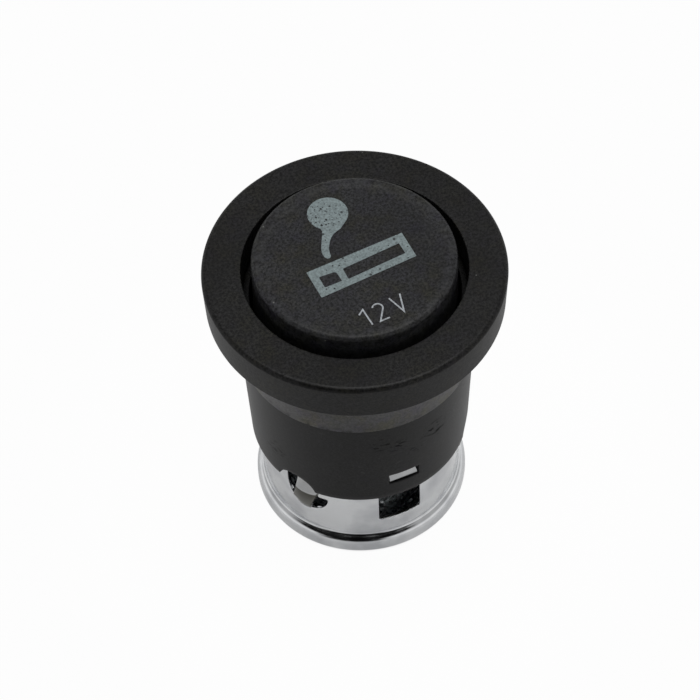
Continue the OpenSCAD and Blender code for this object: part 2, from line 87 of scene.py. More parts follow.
# Stations of the sleeve: three latch tabs, with a spring bow half way between each two
STATIONS = 3
FIRST_TAB = radians(-90)
HALF_STEP = pi / STATIONS
# Steps round the whole lighter, a multiple of the stations
ROUND_STEPS = 240


def foot_of(node):
    """Height of a CAD node's lowest point."""
    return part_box(node)[0].z


def top_of(node):
    """Height of a CAD node's highest point."""
    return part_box(node)[1].z


def length(name, description, millimetres):
    """A size in metres whose default is given in millimetres."""
    return FloatProperty(
        name=name, description=description, default=millimetres * MM, unit="LENGTH", precision=5
    )


def rotation(name, description, turn):
    """An angle whose default is given in degrees."""
    return FloatProperty(name=name, description=description, default=radians(turn), unit="ROTATION")


def tint(name, description, colour):
    """A colour of a finish."""
    return FloatVectorProperty(
        name=name, description=description, default=colour, subtype="COLOR", size=3, min=0, max=1
    )


# Settings


class LighterRingSizes(bpy.types.PropertyGroup):
    """Sizes of the wide ring and the collar under it."""

    radius: length("Radius", "Largest radius of the ring", 14.6)
    taper: length("Taper", "How much the ring narrows down to its lower edge", 0.25)
    height: length("Height", "Height of the ring's side", 4.4)
    edge: length("Upper edge", "Radius of the rounded upper edge", 0.5)
    low_edge: length("Lower edge", "Radius of the rounded lower edge", 0.25)
    hole: length("Hole", "Radius of the hole that the button sits in", 10.8)
    hole_edge: length("Hole edge", "Radius of the hole's broken edge", 0.12)
    collar: length("Collar", "Radius of the collar under the ring", 11.5)
    collar_low: length("Collar foot", "Radius of the collar at its lower edge", 11.4)


class LighterBarrelSizes(bpy.types.PropertyGroup):
    """Sizes of the barrel between the ring and the shell."""

    radius: length("Radius", "Radius where the barrel meets the collar", 11.3)
    low_radius: length("Foot radius", "Radius at the barrel's lower edge", 10.65)
    seat: length("Seat", "Radius of the bore that holds the shell", 9.73)
    spigot: length("Spigot", "Radius of the spigot inside the ring", 10.77)
    bore: length("Bore", "Radius of the bore that the button slides in", 10.1)
    lip: length("Lip", "Inner radius of the lip over the shell", 8.9)
    lip_thickness: length("Lip thickness", "Thickness of the lip over the shell", 0.7)
    rib_width: length("Rib width", "Width of a guide rib", 2.0)
    rib_depth: length("Rib depth", "How far a guide rib stands in from the bore", 0.55)
    rib_engage: length("Rib engagement", "Length of rib that stays in the button at rest", 2.0)
    window_width: length("Window width", "Width of the windows for the latch tabs", 3.1)
    window_height: length("Window height", "Height of those windows", 1.4)
    window_drop: length("Window drop", "Drop from the shell's top to the windows' foot", 3.1)
    arch_width: length("Arch width", "Width of the arches over the spring bows", 4.3)
    arch_height: length("Arch height", "Height of those arches", 1.7)
    edge: length("Edge", "Radius of the barrel's broken edges", 0.07)


class LighterShellSizes(bpy.types.PropertyGroup):
    """Sizes of the pressed metal shell."""

    neck: length("Neck", "Outer radius of the neck", 9.7)
    sheet: length("Sheet", "Thickness of the sheet", 0.4)
    top_edge: length("Top edge", "Radius of the rounded top edge", 0.8)
    bead: length("Bead", "Largest radius of the bead", 10.4)
    curl: length("Curl", "Radius of the bead's curl", 0.9)
    land: length("Land", "Height of the bead's straight land", 0.6)
    hollow: length("Hollow", "Radius of the hollow between the bead and the neck", 0.35)
    mouth: length("Mouth", "Radius of the open mouth", 8.5)
    well: length("Spring well", "Radius of the spring well sunk into the top", 6.2)
    well_depth: length("Well depth", "Depth of the spring well", 2.6)
    well_bend: length("Well bend", "Radius inside the bends of the well", 0.3)
    well_hole: length("Well hole", "Radius of the hole for the bush", 3.34)
    cutout_width: length("Cut-out width", "Width of the cut-outs under the tabs", 4.45)
    cutout_height: length("Cut-out height", "Height of those cut-outs", 9.2)
    cutout_corner: length("Cut-out corner", "Radius of the cut-outs' corners", 0.16)
    tab_width: length("Tab width", "Width of a latch tab", 2.8)
    tab_root: length("Tab root", "Length of tab above its bend", 0.5)
    tab_gap: length("Tab gap", "Gap under the tab's free end", 0.15)
    tab_angle: rotation("Tab angle", "Angle at which the tab is bent out", 36)
    slot_width: length("Slot width", "Width over both slots of a spring bow", 4.7)
    slot_shift: length("Slot shift", "How far the slots lie right of the arch's middle", 0.45)
    slot_length: length("Slot length", "Length of the slots", 6.4)
    slot_drop: length("Slot drop", "Drop from the barrel's foot to the lowest point of the bow's slots", 4.7)
    slot_step: length("Slot step", "Height over that point at which the right slot turns into a slit", 2.6)
    slit: length("Slit", "Width of that slit along the bow", 0.04)
    bow_length: length("Bow length", "Length of a spring bow between its roots", 5.2)
    bow_bulge: length("Bow bulge", "How far a bow bulges past the neck", 0.66)
    edge: length("Edge", "Radius of the broken edges of the cuts", 0.09)


class LighterButtonSizes(bpy.types.PropertyGroup):
    """Sizes of the button and of the print on it."""

    radius: length("Radius", "Radius of the button", 9.8)
    edge: length("Edge", "Radius of the button's rounded edge", 0.5)
    rim: length("Rim", "Width of the raised rim round the face", 0.85)
    face_depth: length("Face depth", "Depth of the face below the rim", 0.07)
    top: length("Top", "Thickness of the button's top", 1.6)
    wall: length("Wall", "Thickness of the button's side", 1.3)
    groove_gap: length("Groove gap", "Gap between a guide rib and its groove", 0.3)
    print_film: length("Print film", "Thickness of the printed ink", 0.015)
    print_turn: rotation("Print turn", "How far the print is turned", 3.8)


class LighterSpringSizes(bpy.types.PropertyGroup):
    """Sizes of the return spring."""

    wire: length("Wire", "Diameter of the wire", 0.8)
    radius: length("Radius", "Radius to the middle of the wire", 4.65)
    turns: IntProperty(name="Working turns", description="Number of open turns", default=6)
    end_gap: length("End gap", "Gap between the closed turns", 0.016)


class LighterHeaterSizes(bpy.types.PropertyGroup):
    """Sizes of the heating cup and what is in it."""

    cup: length("Cup", "Outer radius of the heating cup", 7.3)
    cup_wall: length("Cup wall", "Thickness of the cup's wall", 0.35)
    cup_edge: length("Cup edge", "Radius of the cup's rounded shoulder", 0.8)
    cup_lip: length("Cup lip", "Radius of the rolled lip", 0.35)
    cup_hole: length("Cup hole", "Radius of the hole for the insulator's neck", 2.33)
    post: length("Post", "Radius of the rivet's post", 1.2)
    shank: length("Shank", "Radius of the rivet's shank", 0.75)
    washer: length("Washer", "Radius of the contact washer", 2.4)
    insulator: length("Insulator", "Radius of the lower insulator", 6.1)
    insulator_height: length("Insulator height", "Thickness of the lower insulator", 1.3)
    insulator_neck: length("Insulator neck", "Radius of the insulator's neck", 2.3)
    insulator_bore: length("Insulator bore", "Radius of the insulator's bore", 1.53)
    ribbon: length("Ribbon", "Thickness of the heating ribbon", 0.25)
    ribbon_height: length("Ribbon height", "Height of the heating ribbon", 2.1)
    turns: IntProperty(name="Ribbon turns", description="Number of turns of the ribbon", default=5)
    gap: length("Gap", "Gap between the ribbon's ends and what they meet", 0.03)


class LighterColours(bpy.types.PropertyGroup):
    """Colours of the finishes."""

    ring: tint("Ring", "Moulded plastic of the ring", (0.0075, 0.0074, 0.0073))
    # The collar's grey is painted sheen: it stands in for the bright floor that the smooth collar mirrors.
    collar: tint("Collar", "Smooth plastic of the collar", (0.092, 0.091, 0.092))
    barrel: tint("Barrel", "Moulded plastic of the barrel", (0.0036, 0.0035, 0.0039))
    button: tint("Button", "Moulded plastic of the button", (0.0150, 0.0152, 0.0164))
    warm: tint("Warm cast", "Olive cast of worn plastic", (1.0, 0.95, 0.55))
    cool: tint("Cool cast", "Violet cast of worn plastic", (0.80, 0.74, 1.0))
    ink: tint("Ink", "Printed sign", (0.172, 0.210, 0.215))
    fine_ink: tint("Fine ink", "Printed voltage", (0.33, 0.35, 0.37))
    chrome: tint("Chrome", "Plated shell", (0.70, 0.71, 0.72))
    brass: tint("Brass", "Turned brass", (0.68, 0.47, 0.20))
    zinc: tint("Zinc", "Plated steel of the stem and washers", (0.56, 0.57, 0.58))
    spring: tint("Spring", "Drawn spring steel", (0.42, 0.43, 0.45))
    cup: tint("Cup", "Heat-stained steel of the cup", (0.62, 0.70, 0.72))
    ribbon: tint("Ribbon", "Oxidised heating ribbon", (0.20, 0.17, 0.155))
    ceramic: tint("Ceramic", "Pressed steatite", (0.72, 0.67, 0.57))
    mica: tint("Mica", "Pressed mica", (0.42, 0.34, 0.23))
    core: tint("Core", "Heat-proof plastic of the core", (0.045, 0.030, 0.022))
    silicone: tint("Silicone", "Silicone of the stop buffer", (0.16, 0.035, 0.022))


class LighterStage(bpy.types.PropertyGroup):
    """Camera, floor, lamp and the dark screen that the plating mirrors."""

    distance: length("Distance", "Distance of the camera from the mouth, along its view", 440.0)
    elevation: rotation("Elevation", "How far the camera looks down", 52.93)
    azimuth: rotation("Azimuth", "Direction that the camera stands in", -22.4)
    roll: rotation("Roll", "How far the camera is turned about its view", 2.13)
    lens: FloatProperty(
        name="Lens", description="Focal length in millimetres", default=224.93, unit="CAMERA"
    )
    right: length("Right", "How far the mouth's centre is right of the view's centre", 1.167)
    below: length("Below", "How far the mouth's centre is below the view's centre", 11.911)
    floor: length("Floor", "Half the width of the floor", 900.0)
    shade: length("Shade", "Radius round the axis in which the floor lies in the shell's dark", 9.7)
    screen_high: rotation("Screen top", "Where the dark screen behind the camera ends", 78)
    screen_turn: rotation("Screen turn", "How far the screen's middle is turned from the camera", -10)
    screen_foot: rotation("Screen foot", "Half the screen's width at the horizon", 26)
    screen_head: rotation("Screen head", "Half the screen's width higher up", 62)
    lamp_power: FloatProperty(
        name="Lamp power", description="Power of the soft lamp overhead", default=1.85, min=0, unit="POWER"
    )
    lamp_width: length("Lamp width", "Width of the soft lamp overhead", 420.0)


# Outlines: lists of points (radius, height) or (across, up)


def arc(centre, radius, start, end, steps=8):
    """Points on an arc, with its angles in degrees."""
    return [
        (
            centre[0] + radius * cos(radians(start + (end - start) * i / steps)),
            centre[1] + radius * sin(radians(start + (end - start) * i / steps)),
        )
        for i in range(steps + 1)
    ]


def fillet(corners, closed=True, steps=6):
    """Points of an outline whose corners (x, y, radius) are rounded."""
    points = []
    for i, (x, y, radius) in enumerate(corners):
        here = Vector((x, y))
        if radius <= 0 or (not closed and i in (0, len(corners) - 1)):
            points.append(tuple(here))
            continue
        back = (Vector(corners[i - 1][:2]) - here).normalized()
        ahead = (Vector(corners[(i + 1) % len(corners)][:2]) - here).normalized()
        half = back.angle(ahead) / 2
        centre = here + (back + ahead).normalized() * radius / sin(half)
        start = here + back * radius / tan(half) - centre
        side = 1 if back.x * ahead.y - back.y * ahead.x < 0 else -1
        sweep = side * (pi - 2 * half)
        for k in range(steps + 1):
            turned = Matrix.Rotation(sweep * k / steps, 2) @ start
            points.append(tuple(centre + turned))
    return points


def eased(x, low, high):
    """Rises smoothly from 0 at the low end to 1 at the high end."""
    t = min(1.0, max(0.0, (x - low) / (high - low)))
    return t * t * (3 - 2 * t)


def above(x, soft):
    """Nothing below zero and x above it, with a soft bend between them."""
    return (x + sqrt(x * x + soft * soft)) / 2


def even(points, gap, closed=True):
    """The same outline with its long sides divided, so that no side is longer than the gap."""
    result = []
    pairs = zip(points, points[1:] + (points[:1] if closed else []))
    for (x0, y0), (x1, y1) in pairs:
        parts = max(1, round(hypot(x1 - x0, y1 - y0) / gap + 0.3))
        result += [(x0 + (x1 - x0) * k / parts, y0 + (y1 - y0) * k / parts) for k in range(parts)]
    return result if closed else result + [points[-1]]


# Meshes


def put_object(name, mesh):
    """Links a new object that holds a mesh."""
    thing = bpy.data.objects.new(name, mesh)
    bpy.context.scene.collection.objects.link(thing)
    return thing


def lathe(bm, outline, closed=True, steps=ROUND_STEPS):
    """Turns an outline about Z."""
    rows = []
    for r, z in outline:
        if r < 1e-7:
            rows.append([bm.verts.new((0, 0, z))])
        else:
            angles = [2 * pi * k / steps for k in range(steps)]
            rows.append([bm.verts.new((r * cos(a), r * sin(a), z)) for a in angles])
    for low, high in zip(rows, rows[1:] + (rows[:1] if closed else [])):
        for k in range(steps):
            after = (k + 1) % steps
            corners = [low[k % len(low)], low[after % len(low)]]
            corners += [high[after % len(high)], high[k % len(high)]]
            corners = list(dict.fromkeys(corners))
            if len(corners) > 2:
                bm.faces.new(corners)


def block(bm, centre, size, turn=0.0):
    """A block, turned about Z."""
    place = Matrix.Rotation(turn, 4, "Z") @ Matrix.Translation(centre) @ Matrix.Diagonal((*size, 1))
    bmesh.ops.create_cube(bm, size=1, matrix=place)


def plate(bm, loops, low, high):
    """A flat plate between two heights, bounded by the first loop and pierced by the others."""
    points = [p for loop in loops for p in loop]
    faces, start = [], 0
    for loop in loops:
        faces.append(list(range(start, start + len(loop))))
        start += len(loop)
    flat, _, triangles, _, _, inside = geometry.delaunay_2d_cdt(
        [Vector(p) for p in points], [], faces, 0, 1e-9, True
    )
    kept = [t for t, f in zip(triangles, inside) if list(f) == [0]]
    upper = [bm.verts.new((p.x, p.y, high)) for p in flat]
    lower = [bm.verts.new((p.x, p.y, low)) for p in flat]
    for a, b, c in kept:
        bm.faces.new((upper[a], upper[b], upper[c]))
        bm.faces.new((lower[c], lower[b], lower[a]))
    sides = {}
    for a, b, c in kept:
        for pair in ((a, b), (b, c), (c, a)):
            sides[pair] = sides.get(pair, 0) + 1
    for a, b in [pair for pair in sides if (pair[1], pair[0]) not in sides]:
        bm.faces.new((upper[a], lower[a], lower[b], upper[b]))
    for corner in [v for v in upper + lower if not v.link_faces]:
        bm.verts.remove(corner)


def whole(bm, name, sharp=35):
    """Closes the seams, points the faces outwards, evens the shading and makes the object."""
    bmesh.ops.remove_doubles(bm, verts=bm.verts, dist=1.5e-6)
    bmesh.ops.dissolve_degenerate(bm, edges=bm.edges, dist=2e-7)
    bmesh.ops.recalc_face_normals(bm, faces=bm.faces)
    mesh = bpy.data.meshes.new(name)
    bm.to_mesh(mesh)
    bm.free()
    thing = put_object(name, mesh)
    mesh.shade_smooth()
    mesh.set_sharp_from_angle(angle=radians(sharp))
    even_shading = thing.modifiers.new("Even shading", "WEIGHTED_NORMAL")
    even_shading.keep_sharp = True
    return make_plain(thing)


def make_plain(thing):
    """Turns an object's evaluated shape into a plain mesh without modifiers."""
    depsgraph = bpy.context.evaluated_depsgraph_get()
    mesh = bpy.data.meshes.new_from_object(
        thing.evaluated_get(depsgraph), preserve_all_data_layers=True, depsgraph=depsgraph
    )
    thing.modifiers.clear()
    old = thing.data
    thing.data = mesh
    mesh.name = thing.name
    bpy.data.meshes.remove(old)
    return thing


def dress(thing, finish, body, nodes=()):
    """Gives a piece its finish, ties it to its body and hides the nodes that it stands for."""
    thing.data.materials.clear()
    thing.data.materials.append(finish)
    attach(thing, body)
    if nodes:
        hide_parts(*nodes)


def surface_point(surface, u, v, side=0.0, step=2e-6):
    """A point of a surface (u, v) -> (x, y, z), moved out along its normal."""
    point = Vector(surface(u, v))
    if side:
        across = Vector(surface(u + step, v)) - Vector(surface(u - step, v))
        up = Vector(surface(u, v + step)) - Vector(surface(u, v - step))
        point += across.cross(up).normalized() * side
    return point


def outward(points, closed):
    """For each point of a rim, the miter that points away from the material, on its left."""
    result = []
    for i, here in enumerate(points):
        before = points[i - 1] if closed or i else None
        after = points[(i + 1) % len(points)] if closed or i < len(points) - 1 else None
        normals = []
        for a, b in ((before, here), (here, after)):
            if a is not None and b is not None:
                run = (Vector(b) - Vector(a)).normalized()
                normals.append(Vector((-run.y, run.x)))
        if len(normals) == 1:
            result.append(normals[0])
        else:
            result.append((normals[0] + normals[1]) / (1 + normals[0].dot(normals[1])))
    return result


def inside_wall(point, loops):
    """Whether a point lies inside the first loop and outside all the others."""
    x, y = point
    crossings = 0
    for loop in loops:
        for (x0, y0), (x1, y1) in zip(loop, loop[1:] + loop[:1]):
            if (y0 > y) != (y1 > y) and x < x0 + (y - y0) / (y1 - y0) * (x1 - x0):
                crossings += 1
    return crossings % 2 == 1


def nearest(points, spot):
    """Distance from a spot to the nearest of the points."""
    return np.min(np.hypot(points[:, 0] - spot[0], points[:, 1] - spot[1]))


def pierced_wall(bm, outer, inner, width, low, high, holes, foot, edge, fine, gaps, extra=()):
    """One station's share of a round wall, with cuts whose edges are broken.

    outer and inner are surfaces over (arc length, height), from which the wall's two faces
    come. holes are closed outlines with the hole on their left. foot is the open outline of
    a lower edge, from right to left, or None where another strip goes on. fine lists the
    boxes (u0, v0, u1, v1) that have a close grid, gaps holds the two grid spacings, and extra
    has more points, such as those along a crease.
    """
    rims = [(points, True) for points in holes] + ([(foot, False)] if foot else [])
    steps = ROUND_STEPS // STATIONS
    miters = [outward(points, closed) for points, closed in rims]
    shrunk = [
        [(p[0] - edge * m.x, p[1] - edge * m.y) for p, m in zip(points, miter)]
        for (points, _), miter in zip(rims, miters)
    ]
    across = [-width / 2 + width * k / steps for k in range(steps + 1)]
    if foot:
        base, side_low = [tuple(p) for p in reversed(shrunk[-1])], low + edge
    else:
        base, side_low = [(u, low) for u in across], low
    side_steps = max(2, round((high - side_low) / gaps[0]))
    side = [side_low + (high - side_low) * k / side_steps for k in range(1, side_steps)]
    border = base + [(width / 2, v) for v in side] + [(u, high) for u in reversed(across)]
    border += [(-width / 2, v) for v in reversed(side)]
    loops = [border] + shrunk[: len(holes)]
    points = [p for loop in loops for p in loop]
    loop_points = np.array(points)

    spots = []
    rows = int((high - low) / gaps[0])
    for j in range(1, rows):
        v = low + (high - low) * j / rows
        spots += [(u, v) for u in across[1:-1]]
    for u0, v0, u1, v1 in fine:
        columns, lines = int((u1 - u0) / gaps[1]), int((v1 - v0) / gaps[1])
        spots = [s for s in spots if not (u0 <= s[0] <= u1 and v0 <= s[1] <= v1)]
        spots += [
            (u0 + (u1 - u0) * (i + 0.5) / columns, v0 + (v1 - v0) * (j + 0.5) / lines)
            for i in range(columns)
            for j in range(lines)
        ]
    near = 0.45 * gaps[1]
    crease = np.array(extra) if len(extra) else np.full((1, 2), 1.0)
    points += [s for s in spots if nearest(crease, s) >= near and nearest(loop_points, s) > near]
    points += [s for s in extra if inside_wall(s, loops) and nearest(loop_points, s) > near / 2]

    faces, start = [], 0
    for loop in loops:
        faces.append(list(range(start, start + len(loop))))
        start += len(loop)
    flat, _, triangles, sources, _, inside = geometry.delaunay_2d_cdt(
        [Vector(p) for p in points], [], faces, 0, 1e-9, True
    )
    where = {i: new for new, olds in enumerate(sources) for i in olds}
    outside = [bm.verts.new(surface_point(outer, p.x, p.y)) for p in flat]
    within = [bm.verts.new(surface_point(inner, p.x, p.y)) for p in flat]
    for (a, b, c), owners in zip(triangles, inside):
        if list(owners) == [0]:
            bm.faces.new((outside[a], outside[b], outside[c]))
            bm.faces.new((within[c], within[b], within[a]))

    starts = [faces[k + 1][0] for k in range(len(holes))]
    for k, ((rim, closed), miter) in enumerate(zip(rims, miters)):
        if closed:
            ids = [where[starts[k] + i] for i in range(len(rim))]
        else:
            ids = [where[len(rim) - 1 - i] for i in range(len(rim))]
        rings = [[outside[i] for i in ids]]
        for surface, sign, turns in ((outer, -1, (30, 60, 90)), (inner, 1, (90, 60, 30))):
            for turn in turns:
                out = edge * (sin(radians(turn)) - 1)
                deep = edge * (1 - cos(radians(turn)))
                rings.append([
                    bm.verts.new(surface_point(surface, p[0] + out * m.x, p[1] + out * m.y, sign * deep))
                    for p, m in zip(rim, miter)
                ])
        rings.append([within[i] for i in ids])
        for one, two in zip(rings, rings[1:]):
            for i in range(len(rim) if closed else len(rim) - 1):
                after = (i + 1) % len(rim)
                bm.faces.new((one[i], one[after], two[after], two[i]))
    for corner in [v for v in outside + within if not v.link_faces]:
        bm.verts.remove(corner)


def at_every_station(bm, first):
    """Repeats the faces from index first onwards at every station."""
    bm.verts.ensure_lookup_table()
    share = bm.verts[first:]
    faces = {f for v in share for f in v.link_faces}
    for k in range(1, STATIONS):
        copy = bmesh.ops.duplicate(bm, geom=list(share) + list(faces))
        moved = [g for g in copy["geom"] if isinstance(g, bmesh.types.BMVert)]
        bmesh.ops.rotate(
            bm, verts=moved, cent=(0, 0, 0), matrix=Matrix.Rotation(2 * pi * k / STATIONS, 3, "Z")
        )


# Node trees


def add_node(tree, kind, inputs=None, **settings):
    """Adds a node. An input, given by name or index, takes a value or another node's output."""
    node = tree.nodes.new(kind)
    for name, value in settings.items():
        setattr(node, name, value)
    for name, value in (inputs or {}).items():
        if isinstance(value, bpy.types.NodeSocket):
            tree.links.new(value, node.inputs[name])
        else:
            node.inputs[name].default_value = value
    return node


def calc(tree, operation, a, b=0.0):
    """One step of arithmetic."""
    return add_node(tree, "ShaderNodeMath", {0: a, 1: b}, operation=operation).outputs[0]


def plus(tree, a, b):
    """The sum of two values."""
    return calc(tree, "ADD", a, b)


def minus(tree, a, b):
    """The first value less the second."""
    return calc(tree, "SUBTRACT", a, b)


def times(tree, a, b):
    """The product of two values."""
    return calc(tree, "MULTIPLY", a, b)


def spread(tree, value, low, high, start=0.0, end=1.0):
    """Maps low..high to start..end and holds it at both ends."""
    sockets = {"Value": value, "From Min": low, "From Max": high, "To Min": start, "To Max": end}
    return add_node(tree, "ShaderNodeMapRange", sockets).outputs["Result"]


def mixed(tree, share, first, second, blend_type="MIX"):
    """Mixes two colours."""
    sockets = {0: share, 6: first, 7: second}
    return add_node(tree, "ShaderNodeMix", sockets, data_type="RGBA", blend_type=blend_type).outputs[2]


def place_in(tree):
    """Object coordinates."""
    return add_node(tree, "ShaderNodeTexCoord").outputs["Object"]


def height_in(tree, place):
    """Height of a place."""
    return add_node(tree, "ShaderNodeSeparateXYZ", {0: place}).outputs[2]


def from_axis(tree, place):
    """Distance of a place from the lighter's axis."""
    level = vector_step(tree, "MULTIPLY", place, (1, 1, 0))
    return add_node(tree, "ShaderNodeVectorMath", {0: level}, operation="LENGTH").outputs["Value"]


def vector_step(tree, operation, *vectors):
    """One step of arithmetic with vectors."""
    return add_node(tree, "ShaderNodeVectorMath", dict(enumerate(vectors)), operation=operation).outputs[0]


def bumped(tree, distance, height):
    """A normal that is bumped by a height."""
    sockets = {"Strength": 1.0, "Distance": distance, "Height": height}
    return add_node(tree, "ShaderNodeBump", sockets).outputs["Normal"]


def grey_of(tree, shade):
    """A grey of the given shade."""
    return add_node(tree, "ShaderNodeCombineColor", {0: shade, 1: shade, 2: shade}).outputs[0]


def noise(tree, scale, detail=2.0, roughness=0.5, vector=None):
    """A cloudy value from 0 to 1. The scale is in waves per metre."""
    sockets = {
        "Vector": vector or place_in(tree), "Scale": scale, "Detail": detail, "Roughness": roughness,
    }
    return add_node(tree, "ShaderNodeTexNoise", sockets).outputs["Fac"]


def new_group(name, inputs, outputs):
    """A shader node group with named sockets."""
    tree = bpy.data.node_groups.new(name, "ShaderNodeTree")
    for label, kind, default in inputs:
        socket = tree.interface.new_socket(label, in_out="INPUT", socket_type=kind)
        if default is not None:
            socket.default_value = default
    for label, kind in outputs:
        tree.interface.new_socket(label, in_out="OUTPUT", socket_type=kind)
    return tree, tree.nodes.new("NodeGroupInput").outputs, tree.nodes.new("NodeGroupOutput").inputs


def grain_group():
    """Spark-eroded grain of a mould: a value and a bumped normal."""
    tree, given, out = new_group(
        "Moulded grain",
        [("Scale", "NodeSocketFloat", 5200.0), ("Depth", "NodeSocketFloat", 8e-6)],
        [("Tone", "NodeSocketFloat"), ("Normal", "NodeSocketVector")],
    )
    coarse = noise(tree, given["Scale"], 3.0, 0.65)
    fine = noise(tree, times(tree, given["Scale"], 2.2), 2.0, 0.6)
    height = plus(tree, times(tree, coarse, 0.65), times(tree, fine, 0.35))
    bump = bumped(tree, given["Depth"], height)
    tree.links.new(spread(tree, height, 0.41, 0.59), out["Tone"])
    tree.links.new(bump, out["Normal"])
    return tree


def cast_group():
    """Colour of worn plastic: a base colour with a warm and a cool cast and a grain."""
    tree, given, out = new_group(
        "Plastic cast",
        [
            ("Base", "NodeSocketColor", (0.02, 0.02, 0.02, 1)),
            ("Warm", "NodeSocketColor", (1.0, 0.95, 0.55, 1)),
            ("Cool", "NodeSocketColor", (0.8, 0.74, 1.0, 1)),
            ("Amount", "NodeSocketFloat", 0.5),
            ("Tone", "NodeSocketFloat", 0.5),
            ("Contrast", "NodeSocketFloat", 0.4),
        ],
        [("Colour", "NodeSocketColor")],
    )
    place = place_in(tree)
    warm = spread(tree, noise(tree, 420.0, 3.0, 0.6, place), 0.46, 0.72)
    shifted = add_node(tree, "ShaderNodeMapping", {"Vector": place, "Location": (0.037, 0.011, 0.023)})
    cool = spread(tree, noise(tree, 540.0, 3.0, 0.6, shifted.outputs[0]), 0.46, 0.74)
    warmth = times(tree, warm, given["Amount"])
    colour = mixed(tree, warmth, given["Base"], given["Warm"], "MULTIPLY")
    coolness = times(tree, cool, given["Amount"])
    colour = mixed(tree, coolness, colour, given["Cool"], "MULTIPLY")
    low = minus(tree, 1.0, given["Contrast"])
    high = plus(tree, 1.0, given["Contrast"])
    broad = spread(tree, noise(tree, 130.0, 2.0, 0.5, place), 0.35, 0.65, 0.8, 1.2)
    shade = times(tree, broad, spread(tree, given["Tone"], 0.0, 1.0, low, high))
    tree.links.new(mixed(tree, 1.0, colour, grey_of(tree, shade), "MULTIPLY"), out["Colour"])
    return tree


def speck_group():
    """Scattered round specks, as a mask."""
    tree, given, out = new_group(
        "Specks",
        [
            ("Scale", "NodeSocketFloat", 1500.0),
            ("Size", "NodeSocketFloat", 0.2),
            ("Share", "NodeSocketFloat", 0.05),
        ],
        [("Mask", "NodeSocketFloat")],
    )
    cells = add_node(tree, "ShaderNodeTexVoronoi", {"Vector": place_in(tree), "Scale": given["Scale"]})
    red = add_node(tree, "ShaderNodeSeparateColor", {0: cells.outputs["Color"]}).outputs[0]
    chosen = calc(tree, "LESS_THAN", red, given["Share"])
    rim = times(tree, given["Size"], 0.55)
    dot = spread(tree, cells.outputs["Distance"], given["Size"], rim)
    tree.links.new(times(tree, chosen, dot), out["Mask"])
    return tree


def turning_group():
    """Fine rings left by a lathe or a rolling tool, as a value and a bumped normal."""
    tree, given, out = new_group(
        "Turning marks",
        [("Pitch", "NodeSocketFloat", 0.00012), ("Depth", "NodeSocketFloat", 2e-6)],
        [("Tone", "NodeSocketFloat"), ("Normal", "NodeSocketVector")],
    )
    place = place_in(tree)
    along = plus(tree, from_axis(tree, place), height_in(tree, place))
    drift = times(tree, noise(tree, 900.0, 2.0, 0.5, place), given["Pitch"])
    turns = calc(tree, "DIVIDE", plus(tree, along, drift), given["Pitch"])
    wave = calc(tree, "SINE", times(tree, turns, 2 * pi))
    tone = spread(tree, wave, -1.0, 1.0)
    bump = bumped(tree, given["Depth"], tone)
    tree.links.new(tone, out["Tone"])
    tree.links.new(bump, out["Normal"])
    return tree


def wear_group():
    """Hairline scratches and rub marks, as a mask."""
    tree, given, out = new_group(
        "Rub marks",
        [("Scale", "NodeSocketFloat", 600.0), ("Share", "NodeSocketFloat", 0.5)],
        [("Mask", "NodeSocketFloat")],
    )
    place = place_in(tree)
    masks = []
    for turn, squeeze in ((0.5, (1, 9, 3)), (2.2, (9, 1, 3)), (1.3, (4, 1, 9))):
        lie = add_node(tree, "ShaderNodeMapping", {
            "Vector": place, "Rotation": (turn, turn / 2, turn), "Scale": squeeze,
        }).outputs[0]
        masks.append(spread(tree, noise(tree, given["Scale"], 4.0, 0.7, lie), 0.62, 0.72))
    both = calc(tree, "MAXIMUM", calc(tree, "MAXIMUM", masks[0], masks[1]), masks[2])
    patch = spread(tree, noise(tree, 260.0, 2.0, 0.5, place), 0.42, 0.62)
    mask = times(tree, times(tree, both, patch), given["Share"])
    tree.links.new(mask, out["Mask"])
    return tree


GROUPS = {}


def grouped(tree, name, **inputs):
    """Places a shared node group with its inputs, and returns its outputs."""
    if not GROUPS:
        GROUPS.update(
            grain=grain_group(), cast=cast_group(), specks=speck_group(), turning=turning_group(),
            wear=wear_group(),
        )
    return add_node(tree, "ShaderNodeGroup", inputs, node_tree=GROUPS[name]).outputs


def new_finish(name, **constants):
    """A material: its tree and its Principled shader, with the constants set on the sockets."""
    material = bpy.data.materials.new(name)
    material.use_nodes = True
    shader = material.node_tree.nodes["Principled BSDF"]
    for label, value in constants.items():
        shader.inputs[label.replace("_", " ")].default_value = value
    return material, material.node_tree, shader.inputs


def lay_on(tree, shader, colour, rough, normal):
    """Feeds a finish's colour, roughness and normal to its shader."""
    tree.links.new(colour, shader["Base Color"])
    tree.links.new(rough, shader["Roughness"])
    tree.links.new(normal, shader["Normal"])


def opaque(colour):
    """A colour with full alpha."""
    return (*colour, 1.0)


def grey(tone):
    """A plain grey with full alpha."""
    return (tone, tone, tone, 1.0)


# Finishes


